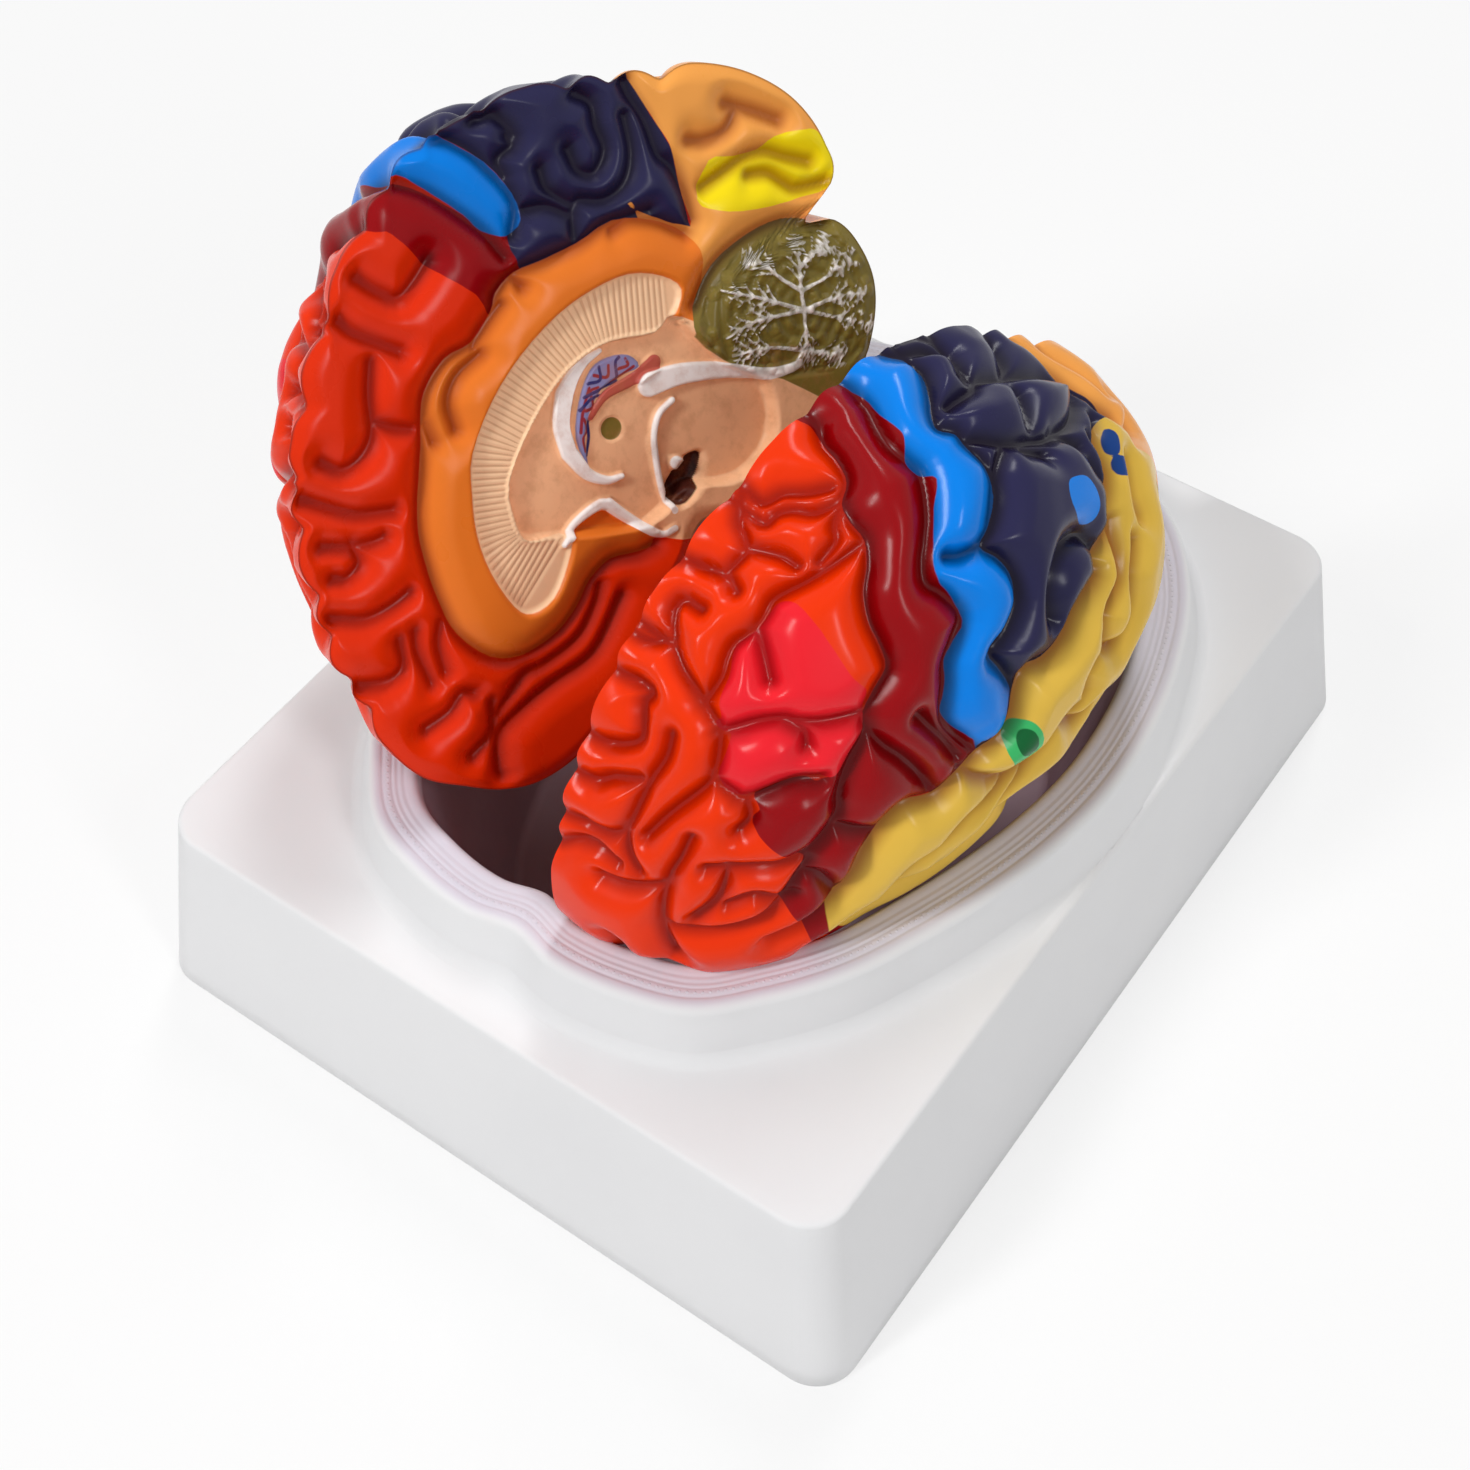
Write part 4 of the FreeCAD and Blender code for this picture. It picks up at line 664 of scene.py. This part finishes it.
# ribs of the arch stand across the middle line between these two rows of points
ribs = {
    "pitch": 1.2, "depth": 0.26, "reach": 16.0,
    "top": [(25.5, -1), (22.5, 11), (17.5, 17.5), (5, 26.3), (-5, 28), (-15, 27.5), (-25, 25),
            (-32.5, 21.3), (-42, 8)],
    "under": [(12, 2), (13.8, 8), (11.3, 12), (2, 17.2), (-4, 18), (-12, 18), (-20, 16.3),
              (-26.3, 12.5), (-35, 4)],
}
# heights and depths of the small parts of the inner face, in mm
relief = {
    "white": 1.3, "plexus": 0.9, "stria": 0.7, "tree": 0.7, "floor": 0.5, "leaf": 0.35,
    "leafPitch": 2.6, "hollow": 2.4, "dot": 0.5, "dotMiddle": (-12.8, 2.0), "dotRadius": 2.4,
    "dotPaint": 2.2, "rimRound": 4.5,
    # widths over which their edges rise
    "stepEdge": 1.4, "ribEdge": 0.8, "whiteEdge": 0.8, "plexusEdge": 1.2, "striaEdge": 1.0,
    "hollowEdge": 1.5, "treeEdge": 1.5, "branchEdge": 0.5, "rimEdge": 2.0,
}


def lineShare(points, lines):
    # how far a point lies inside a line of changing half width: the half width less the gap
    best = np.full(len(points), -edgeWidth)
    for route, first, last in lines:
        chain = smoothed(route, 6)
        gap, run = np.full(len(points), 6.0), np.zeros(len(points))
        nearChain(points, chain, gap, run, 6.0)
        length = np.sqrt((np.diff(chain, axis=0) ** 2).sum(1)).sum()
        best = np.maximum(best, first + (last - first) * run / length - gap)
    return best


def heads(angle):
    # unit step in a direction
    return np.array([math.cos(angle), math.sin(angle)])


def treeLines():
    # limbs from one node; twigs leave each limb in pairs at set shares of its length, turned by a
    # set spread to both sides, each shorter than the last, each with two smaller twigs
    lines = []
    wide = treeBranch["width"]
    for limb in treeLimbs:
        chain = smoothed(limb, 8)
        lines.append((limb, wide * 1.5, wide * 0.7))
        for share, length in zip(treeBranch["shares"], treeBranch["length"]):
            i = int(share * (len(chain) - 1))
            way = chain[min(i + 1, len(chain) - 1)] - chain[i - 1]
            heading = math.atan2(way[1], way[0])
            for side in (-1, 1):
                bend = heading + side * math.radians(treeBranch["spread"])
                end = chain[i] + treeBranch["twig"] * length * heads(bend)
                lines.append(([chain[i], end], wide * 0.85, wide * 0.6))
                for more in treeBranch["turns"]:
                    twig = bend + side * more
                    tip = end + treeBranch["tip"] * length * heads(twig)
                    lines.append(([end, tip], wide * 0.65, wide * 0.45))
    return lines


# lines of the inner face, each a route with its half width at the start and the end
innerLines = {
    "white": whiteLines, "tree": treeLines(),
    "stria": [([(-12.5, 7.5), (-17.5, 7), (-22.5, 3.8), (-26.3, 1.9), (-27.8, 1.3)], 0.7, 1.5)],
    "redLine": [(route, 0.35, 0.3) for route in redVessels],
    "blueLine": [(route, 0.35, 0.3) for route in blueVessels],
}


def innerFace(rimPoints):
    # polar grid round the hub out to the parting line, pressed in by folds, arch and core, with the
    # white parts and the branching tree standing up from their floor
    b = brain
    share = np.arange(1, b["innerRings"] + 1) / b["innerRings"]
    edge = np.stack([-rimPoints[:, 1] / longScale, rimPoints[:, 2] / highScale], 1) - hub
    flat = np.vstack([[hub], (hub + share[:, None, None] * edge[None]).reshape(-1, 2)])
    rim = np.concatenate([[30.0], np.outer(1 - share, np.hypot(*edge.T)).ravel()])
    gap = chainGap(flat, [smoothed(chain, 4) for chain in innerFolds], b["gapWidth"])
    values = {key: insideBy(flat, area) for key, area in innerAreas.items()}
    values.update({key: lineShare(flat, lines) for key, lines in innerLines.items()})
    inCallosum = values["callosum"]
    drop = b["innerDepth"] * crease(gap, b["foldReach"])
    drop = np.maximum(drop, b["callosumDrop"] * ease(0.5 + inCallosum / relief["stepEdge"]))
    drop = np.maximum(drop, b["coreDrop"] * ease(0.5 + insideBy(flat, core) / relief["stepEdge"]))
    arch = (np.array(ribs["top"], float) + ribs["under"]) / 2  # middle line of the arch
    ribGap, ribRun = np.full(len(flat), ribs["reach"]), np.zeros(len(flat))
    nearChain(flat, smoothed(arch, 8), ribGap, ribRun, ribs["reach"])
    rib = 0.5 + 0.5 * np.cos(turn * ribRun / ribs["pitch"])
    drop = drop + ribs["depth"] * (1 - rib) * ease(inCallosum / relief["ribEdge"])
    leaves = 0.5 + 0.5 * np.cos(turn * np.hypot(*(flat - treeNode).T) / relief["leafPitch"])
    ground = relief["floor"] + relief["leaf"] * leaves
    ground = ground - relief["tree"] * ease(0.5 + values["tree"] / relief["branchEdge"])
    drop = drop + ease(values["treeArea"] / relief["treeEdge"]) * ground
    dot = np.hypot(*(flat - relief["dotMiddle"]).T)
    for key, sign in (("white", -1), ("plexus", -1), ("stria", -1), ("hollow", 1)):
        drop = drop + sign * relief[key] * ease(0.5 + values[key] / relief[key + "Edge"])
    drop = drop + relief["dot"] * ease(0.5 + relief["dotRadius"] - dot)
    lift = ease(rim / relief["rimEdge"])
    drop = np.maximum(drop, 0.0) * lift + b["seamDrop"] * (1 - lift)
    drop = np.maximum(drop, b["seamDrop"] * crease(rim, relief["rimRound"]))
    points = placed(flat[:, 0], flat[:, 1], drop)
    points[-len(edge):] = rimPoints
    values.update({"gap": gap, "ribRun": ribRun, "rim": rim, "dot": relief["dotPaint"] - dot})
    return points, values


# Paint of the halves.
gloss = {
    "frontal": paint(236, 52, 0), "frontalInner": paint(224, 46, 4), "darkRed": paint(146, 0, 8),
    "blue": paint(0, 128, 230), "navy": paint(38, 36, 72), "occipital": paint(246, 166, 80),
    "temporal": paint(228, 186, 74), "pink": paint(236, 34, 46), "green": paint(62, 186, 106),
    "greenCore": paint(8, 98, 48), "spot": paint(20, 62, 130), "olive": paint(128, 112, 50),
    "tan": paint(252, 196, 150), "callosum": paint(253, 212, 170), "cingulate": paint(232, 122, 40),
    "yellow": paint(250, 224, 20), "white": paint(253, 248, 244), "plexus": paint(136, 138, 186),
    "stria": paint(190, 88, 76), "vesselRed": paint(150, 50, 60), "vesselBlue": paint(40, 50, 110),
    # ribShade and leafShade, and the fold colour after them, are painted shade: for the grooves of the
    # arch's ribs, the cracks of the tree's ground and the bottom of the folds
    "dark": paint(70, 30, 22), "grain": paint(186, 120, 80), "ribShade": paint(196, 138, 100),
    "leafShade": paint(84, 74, 30), "creaseShade": (0.36, 0.16, 0.16, 1.0), "creaseShadeReach": 2.6,
    "worn": (0.8, 0.78, 0.78, 1.0), "edge": 0.12, "wander": 0.5, "shine": 0.15, "fine": 0.06,
}
# how fine each noise is, in spots per metre
texture = {"wander": 160.0, "patch": 60.0, "dimple": 420.0, "streak": 900.0, "grain": 520.0,
           "rub": 260.0, "cobble": 330.0}


def painted(name, base, layers, creaseShadeShare):
    # layers of paint over a base: attribute, colour, and whether the edge wanders; each is laid where
    # its attribute is above nought; painted shade darkens the folds towards their bottom
    s = Shader(name)
    wobble = (s.noise(texture["wander"], 2.0) - 0.5) * gloss["wander"]
    tone = base
    for attribute, colour, wander in layers:
        reach = s.attribute(attribute) + wobble if wander else s.attribute(attribute)
        tone = s.blend(reach.between(-gloss["edge"], gloss["edge"]), tone, gloss[colour])
    # painted shade in the folds: darker where the gap to a fold line is small, by the share given
    gap = s.attribute("gap")
    creaseShade = s.blend(1.0, tone, gloss["creaseShade"], "MULTIPLY")
    tone = s.blend(gap.between(0.0, gloss["creaseShadeReach"], creaseShadeShare, 0.0), tone, creaseShade)
    patch = s.noise(texture["patch"], 4.0, 0.6)
    worn = s.blend(1.0, tone, gloss["worn"], "MULTIPLY")
    tone = s.blend(patch.between(0.45, 0.8, 0.0, 0.12), tone, worn)
    return s, tone, patch


def outerPaint():
    # glossy paint in areas with a hand-led edge, faintly dimpled, with painted shade at the bottom of
    # the folds
    layers = [(area, area, True) for area in ("darkRed", "blue", "navy", "occipital", "temporal",
                                              "pink", "green", "greenCore")]
    layers += [("oval", "blue", True), ("spot", "spot", True), ("stem", "tan", True),
               ("cerebellum", "olive", False)]
    s, tone, patch = painted("outerPaint", gloss["frontal"], layers, 0.9)
    dimple = s.noise(texture["dimple"], 3.0)
    return s.finish({"Base Color": tone, "Roughness": patch.between(0.3, 0.8, 0.2, 0.28),
                     "Specular IOR Level": gloss["shine"],
                     "Normal": s.bump(dimple, gloss["fine"], 0.0002)})


def innerPaint():
    # the same paint on the cut face, with painted shade at the bottom of the folds, in the grooves of
    # the arch's ribs and in the cracks of the tree's cobbled ground; the tree drawn in broken white,
    # and tan rubbed brown in patches
    layers = [(area, area, True) for area in ("darkRed", "navy", "blue", "occipital", "cingulate",
                                              "yellow")]
    layers += [(area, colour, False) for area, colour in (
        ("core", "tan"), ("cerebellum", "olive"), ("callosum", "callosum"), ("plexus", "plexus"),
        ("redLine", "vesselRed"), ("blueLine", "vesselBlue"), ("stria", "stria"), ("dot", "olive"),
        ("hollow", "dark"), ("white", "white"))]
    s, tone, patch = painted("innerPaint", gloss["frontalInner"], layers, 0.75)
    onTree = s.attribute("tree").between(-0.1, 0.15) * s.attribute("treeArea").between(0.0, 0.6)
    streak = s.noise(texture["streak"], 2.0).between(0.35, 0.6, 0.55, 1.0)
    tone = s.blend(onTree * streak, tone, gloss["white"])
    # painted shade in the grooves between the arch's ribs, darkest where the ribs are lowest
    run = s.attribute("ribRun") * (turn / ribs["pitch"])
    line = s.maths("COSINE", run).between(-1.0, -0.2, 0.45, 0.0)
    tone = s.blend(line * s.attribute("callosum").between(0.3, 1.2), tone, gloss["ribShade"])
    seam = s.attribute("rim").between(0.15, 0.5, 0.45, 0.0)  # darker along the parting line
    tone = s.blend(seam, tone, gloss["dark"])
    grain = s.noise(texture["grain"], 4.0)
    rubbed = s.noise(texture["rub"], 5.0, 0.65).between(0.42, 0.72, 0.0, 0.3)
    tone = s.blend(rubbed * s.attribute("core").between(0.0, 0.5), tone, gloss["grain"])
    cell = s.make("TexVoronoi", {}, {"Vector": s.place(), "Scale": texture["cobble"]})
    inTree = s.attribute("treeArea").between(0.0, 1.0)
    leaf = cell.between(0.15, 0.6, 1.0, 0.0) * inTree
    # painted shade in the cracks between the cobbles of the tree's ground
    tone = s.blend(leaf.between(0.0, 0.5, 0.35, 0.0) * inTree, tone, gloss["leafShade"])
    grained = s.make("Bump", {}, {"Strength": gloss["fine"], "Distance": 0.0003, "Height": grain,
                                  "Normal": s.bump(leaf, 0.55, 0.0007)})
    return s.finish({"Base Color": tone, "Roughness": patch.between(0.3, 0.8, 0.26, 0.36),
                     "Specular IOR Level": gloss["shine"], "Normal": grained})


# The stand: sizes, socket lip and colours.
stand = {
    "height": 48.0, "slope": 8.0, "corner": 9.0, "edge": 0.9, "wall": 3.0,
    "sideBorder": 1.2, "frontBorder": 11.5, "backBorder": 6.0,
    "floorRound": 2.5, "fillet": 2.2, "filletLean": 0.29, "footEdge": 0.5,
    "rimRise": 13.0, "rimWidth": 13.5, "rimLean": 3.0, "shoulder": 2.6, "lipRound": 1.8,
    "socketSide": 15.5, "socketEnds": 9.0, "taper": 12.0,
    # fine lines of the crest: out, width, depth
    "lines": [(3.0, 0.5, 0.14), (4.3, 0.5, 0.2), (5.4, 0.35, 0.2), (7.3, 0.4, 0.22)],
    "beadOut": 6.3, "beadPitch": 1.4, "beadSize": (0.4, 0.24), "beadSink": 0.12,
    "angles": 560, "plastic": paint(234, 234, 235), "crest": paint(214, 211, 222),
    # socket is the colour of painted shade inside the socket
    "socket": paint(156, 130, 140), "cloud": paint(216, 216, 219),
    "fineNoise": 180.0, "broadNoise": 14.0, "shine": 0.12, "graining": 0.12,
}
# socket lip, right side from front to back: x, y
lipSide = [(0, -72.5), (9, -74.5), (22, -73), (33, -69), (41, -60.5), (49, -49), (54.5, -36),
           (59, -23), (62.6, -9), (64.5, 5), (64, 21), (61, 37), (55, 53), (44, 67), (28, 75.5),
           (12, 78.5), (0, 77.5)]
lipPoints = lipSide + [(-x, y) for x, y in lipSide[1:-1]]
sideAt = max(x for x, y in lipSide)
endsAt = max(y for x, y in lipSide) - min(y for x, y in lipSide)
lipRadius = radiusCurve(lipPoints, (0, 0), ((brain["halfWidth"] + stand["socketSide"]) / sideAt,
                                            (brain["length"] + stand["socketEnds"]) / endsAt))


def blockOutline(angle, z, inset=0.0):
    # radius to a rectangle with round corners that grows downwards with the slope of the sides
    grow = (stand["height"] - z) * math.tan(math.radians(stand["slope"])) - inset
    across, front, back = (float(lipRadius(share * turn)) + stand["rimWidth"] + stand[border] + grow
                           for share, border in ((0.0, "sideBorder"), (0.75, "frontBorder"),
                                                 (0.25, "backBorder")))
    r = stand["corner"]
    arc = np.linspace(0, 0.25 * turn, 17)
    middles = [(across - r, -front + r, 0.75), (across - r, back - r, 0.0),
               (-across + r, back - r, 0.25), (-across + r, -front + r, 0.5)]
    line = np.vstack([np.stack([x + r * np.cos(arc + s * turn), y + r * np.sin(arc + s * turn)], 1)
                      for x, y, s in middles])
    line = np.vstack([line, line[:1]])
    fine = np.vstack([a + (b - a) * np.linspace(0, 1, 120, endpoint=False)[:, None]
                      for a, b in zip(line[:-1], line[1:])])
    at = np.arctan2(fine[:, 1], fine[:, 0]) % turn
    order = np.argsort(at)
    return np.interp(angle, at[order], np.hypot(fine[:, 0], fine[:, 1])[order], period=turn), line


def standShell():
    # rings round the upright axis: floor and wall of the socket, lip, crest with its fine lines,
    # shoulder, side of the rim, flat top, bevel, sloped side, and back underneath to the middle
    s = stand
    corner = blockOutline(np.zeros(1), 0.0)[1]
    angle = np.unique(np.round(np.concatenate([np.linspace(0, turn, s["angles"], endpoint=False),
                                               np.arctan2(corner[:, 1], corner[:, 0]) % turn]), 5))
    lip = lipRadius(angle)
    rimTop = s["height"] + s["rimRise"]
    rimIn = s["rimWidth"] - s["rimLean"]
    floorShare = 1 - s["taper"] / float(lipRadius(0.0))
    wallShare = s["wall"] / float(lipRadius(0.0))
    rings = []  # radius, height, distance out from the lip, which off the crest is only a tag
    floor = floorShare * lip
    for share in (0.2, 0.4, 0.6, 0.8):
        rings.append((floor * share, s["wall"], -30.0))
    r = s["floorRound"]
    for a in np.linspace(0, 0.25 * turn, 5):
        rings.append((floor - r + r * math.sin(a), s["wall"] + r - r * math.cos(a), -25.0))
    for t in np.linspace(0, 1, 14)[1:]:
        z = s["wall"] + r + (rimTop - s["lipRound"] - s["wall"] - r) * t
        rings.append((floor + (lip - floor) * t, z, -20.0 + 19.5 * t))
    for a in np.linspace(0, 0.25 * turn, 8)[1:]:
        out = s["lipRound"] * (1 - math.cos(a))
        rings.append((lip + out, rimTop - s["lipRound"] * (1 - math.sin(a)), out))
    for out in np.linspace(s["lipRound"], rimIn - s["shoulder"], 36)[1:]:
        dip = sum(depth * math.exp(-((out - at) / width) ** 2) for at, width, depth in s["lines"])
        rings.append((lip + out, rimTop - dip, out))
    for a in np.linspace(0, 0.25 * turn, 8)[1:]:
        out = rimIn - s["shoulder"] * (1 - math.sin(a))
        rings.append((lip + out, rimTop - s["shoulder"] * (1 - math.cos(a)), out))
    top = blockOutline(angle, s["height"], s["edge"])[0]
    foot = lip + s["rimWidth"]
    fillet = np.clip(0.5 * (top - foot), 0.05, s["fillet"])
    lean = s["filletLean"] * fillet
    for t in np.linspace(0, 1, 7)[1:]:
        out = rimIn + s["rimLean"] * t
        z = rimTop - s["shoulder"] - (s["rimRise"] - s["shoulder"]) * t
        rings.append((lip + out - lean * t ** 6, z + fillet * t ** 6, out))
    for a in np.linspace(0, 0.25 * turn, 5)[1:]:
        rings.append((foot - lean + (lean + fillet) * math.sin(a),
                      s["height"] + fillet * (1 - math.sin(a)) ** 2, 14.0 + a))
    start = foot + fillet
    for t in np.linspace(0, 1, 9)[1:]:
        rings.append((start + (top - start) * t, s["height"], 16.0 + t))
    for a in np.linspace(0, 0.25 * turn, 5)[1:]:
        z = s["height"] - s["edge"] * (1 - math.cos(a))
        rings.append((blockOutline(angle, z, s["edge"] * (1 - math.sin(a)))[0], z, 18.0))
    for z in np.linspace(s["height"] - s["edge"], s["footEdge"], 11)[1:]:
        rings.append((blockOutline(angle, z)[0], z, 20.0))
    rings.append((blockOutline(angle, 0.0, 0.8 * s["footEdge"])[0], 0.0, 21.0))
    under = s["height"] - s["wall"]
    rings.append((blockOutline(angle, 0.0, s["wall"])[0], 0.0, 22.0))
    rings.append((blockOutline(angle, under, s["wall"])[0], under, 23.0))
    rings.append((lip + s["rimWidth"] - s["wall"], under, 24.0))
    rings.append((lip + rimIn - s["wall"], rimTop - s["wall"], 25.0))
    rings.append((lip * (1 + wallShare), rimTop - s["wall"], 26.0))
    rings.append((lip * (floorShare + wallShare), 0.0, 27.0))
    points = [np.array([[0.0, 0.0, s["wall"]]])]
    reach = [np.array([-30.0])]
    for radius, z, out in rings:
        points.append(np.stack([radius * np.cos(angle), radius * np.sin(angle), z + 0 * angle], 1))
        reach.append(out + 0 * angle)
    points.append(np.array([[0.0, 0.0, 0.0]]))
    reach.append(np.array([28.0]))
    points, reach = np.vstack(points), np.concatenate(reach)
    count = len(angle)
    faces = diskFaces(count, len(rings), False)
    k = np.arange(count)
    last = len(points) - 1
    first = last - count
    faces += np.stack([np.full(count, last), first + (k + 1) % count, first + k], 1).tolist()
    return points, faces, {"reach": reach}


def standPlastic():
    # white moulded plastic, a faint lavender cast on the crest, and painted shade: a dark colour inside
    # the socket
    s = Shader("standPlastic")
    reach = s.attribute("reach")
    fine = s.noise(stand["fineNoise"], 4.0, 0.6)
    broad = s.noise(stand["broadNoise"])
    tone = s.blend(reach.between(8.2, 10.0), stand["crest"], stand["plastic"])
    # painted shade: the inside of the socket, below the lip, gets the dark socket colour
    tone = s.blend(reach.between(-1.2, -0.5), stand["socket"], tone)
    tone = s.blend(broad.between(0.4, 0.8, 0.0, 0.25), tone, stand["cloud"])
    return s.finish({"Base Color": tone, "Roughness": fine.between(0.3, 0.7, 0.5, 0.6),
                     "Normal": s.bump(fine, stand["graining"], 0.0002),
                     "Specular IOR Level": stand["shine"]})


def beadRing():
    # low domes set evenly along the crest: a unit dome scaled and moved to each place
    s = stand
    angle = np.linspace(0, turn, 4001)
    radius = lipRadius(angle) + s["beadOut"]
    line = np.stack([radius * np.cos(angle), radius * np.sin(angle)], 1)
    run = np.concatenate([[0], np.cumsum(np.hypot(*np.diff(line, axis=0).T))])
    count = int(run[-1] / s["beadPitch"])
    at = np.interp(np.arange(count) * run[-1] / count, run, angle)
    radius = lipRadius(at) + s["beadOut"]
    level = s["height"] + s["rimRise"] - s["beadSink"]
    middle = np.stack([radius * np.cos(at), radius * np.sin(at), np.full(count, level)], 1)
    sides = 8
    ring = np.arange(sides) * turn / sides
    dome = [(0.0, 0.0, 1.0)] + [(wide * math.cos(a), wide * math.sin(a), high)
                                for wide, high in ((0.7, 0.7), (1.0, 0.0), (1.0, -0.4)) for a in ring]
    across, tall = s["beadSize"]
    dome = np.array(dome) * (across, across, tall)
    points = (middle[:, None, :] + dome[None]).reshape(-1, 3)
    faces = []
    for face in diskFaces(sides, 3, False):
        faces += (np.arange(count)[:, None] * len(dome) + face).tolist()
    return points, faces, {"reach": np.full(len(points), s["beadOut"])}


halves = {
    "left_half": {"mirror": 1, "place": (16.4, -17.0, 77.7), "turns": (-10.8, -1.4, 12.5)},
    "right_half": {"mirror": -1, "place": (-26.7, -18.0, 103.4), "turns": (-20.2, -27.9, 37.1)},
}


def setDown(points, half):
    # mirrored where it is the right half, nodded about X, leaned about Y, turned about Z, moved
    yaw, lean, nod = (math.radians(a) for a in half["turns"])
    turned = Matrix.Rotation(yaw, 3, "Z") @ Matrix.Rotation(lean, 3, "Y") @ Matrix.Rotation(nod, 3, "X")
    return (points * (half["mirror"], 1, 1)) @ np.array(turned).T + half["place"]


body = list(frame["bodies"])[0]
plastic = standPlastic()
shell = makePiece("standShell", *standShell(), plastic)
beads = makePiece("standBeads", *beadRing(), plastic)
for piece in (shell, beads):
    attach(piece, body)
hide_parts("stand")
print("stand made,", len(shell.data.polygons), "faces")

outerPoints, outerValues = outerSide()
innerPoints, innerValues = innerFace(outerPoints[-brain["angles"]:])
print("half worked out,", len(outerPoints), "and", len(innerPoints), "points")
outerLook, innerLook = outerPaint(), innerPaint()
for node, half in halves.items():
    flipped = half["mirror"] > 0
    outer = makePiece(node + "Outer", setDown(outerPoints, half),
                      diskFaces(brain["angles"], brain["outerRings"], flipped), outerValues, outerLook)
    inner = makePiece(node + "Inner", setDown(innerPoints, half),
                      diskFaces(brain["angles"], brain["innerRings"], not flipped), innerValues,
                      innerLook)
    for piece in (outer, inner):
        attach(piece, body)
        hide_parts(node)
    print(node, "made")


# Floor, light and camera.
studio = {
    "target": (1.9, -15.2, 48.1), "azimuth": 37.0, "elevation": 52.5, "roll": -1.98, "distance": 486.0,
    "focal": 2416.0, "photoWidth": 1470.0,
    # way to the lamp in metres, width, watts
    "lamps": [((-0.4, -0.95, 1.15), 0.2, 10.3), ((1.05, -0.35, 0.95), 0.2, 5.4),
              ((-0.2, 0.55, 1.2), 0.2, 5.4)],
    "lampStretch": 2.6, "world": 0.28, "floor": paint(238, 238, 238), "floorLift": 0.72,
    "floorSide": 3000.0, "floorLevel": -0.2, "sensor": 36.0,
}


def floorLook():
    # plain pale floor; where it is looked at it is lifted towards white and keeps the shadow
    s = Shader("floorLook")
    pale = s.make("BsdfDiffuse", {}, {"Color": studio["floor"]})
    bright = s.make("Emission", {}, {"Color": (1, 1, 1, 1), "Strength": 1.0})
    mixed = s.make("MixShader", {}, {0: s.seen() * studio["floorLift"], 1: pale, 2: bright})
    s.make("OutputMaterial", {}, {"Surface": mixed})
    return s.owner


def lightAround(world):
    # even light from all sides, and plain white where the world itself is looked at
    s = Shader("studio", world)
    around = s.make("Background", {}, {"Color": (1, 1, 1, 1), "Strength": studio["world"]})
    backdrop = s.make("Background", {}, {"Color": (1, 1, 1, 1), "Strength": 1.0})
    mixed = s.make("MixShader", {}, {0: s.seen(), 1: around, 2: backdrop})
    s.make("OutputWorld", {}, {"Surface": mixed})


side = studio["floorSide"]
corners = [(x * side, y * side, studio["floorLevel"]) for x, y in ((-1, -1), (1, -1), (1, 1), (-1, 1))]
floor = makePiece("floor", corners, [(0, 1, 2, 3)], {}, floorLook())

for k, (way, width, power) in enumerate(studio["lamps"]):
    light = bpy.data.lights.new("softbox%d" % k, "AREA")
    light.shape = "RECTANGLE"
    light.size = width
    light.size_y = width * studio["lampStretch"]
    light.energy = power
    lamp = added("softbox%d" % k, light)
    lamp.location = way
    lamp.rotation_euler = Vector(way).to_track_quat("Z", "Y").to_euler()

world = bpy.data.worlds.new("studio")
bpy.context.scene.world = world
lightAround(world)

azimuth, elevation, roll = (math.radians(studio[key]) for key in ("azimuth", "elevation", "roll"))
back = Vector((math.sin(azimuth) * math.cos(elevation), -math.cos(azimuth) * math.cos(elevation),
               math.sin(elevation)))
right = Vector((math.cos(azimuth), math.sin(azimuth), 0.0))
up = back.cross(right)
tilted = math.cos(roll) * right + math.sin(roll) * up
upright = math.cos(roll) * up - math.sin(roll) * right
camera = added("camera", bpy.data.cameras.new("camera"))
camera.data.sensor_width = studio["sensor"]
camera.data.lens = studio["sensor"] * studio["focal"] / studio["photoWidth"]
camera.data.clip_start = 0.01
spot = (Vector(studio["target"]) + back * studio["distance"]) * 0.001
camera.matrix_world = Matrix.Translation(spot) @ Matrix((tilted, upright, back)).transposed().to_4x4()
bpy.context.scene.camera = camera
bpy.context.scene.view_settings.view_transform = "Standard"
print("floor, light and camera set")
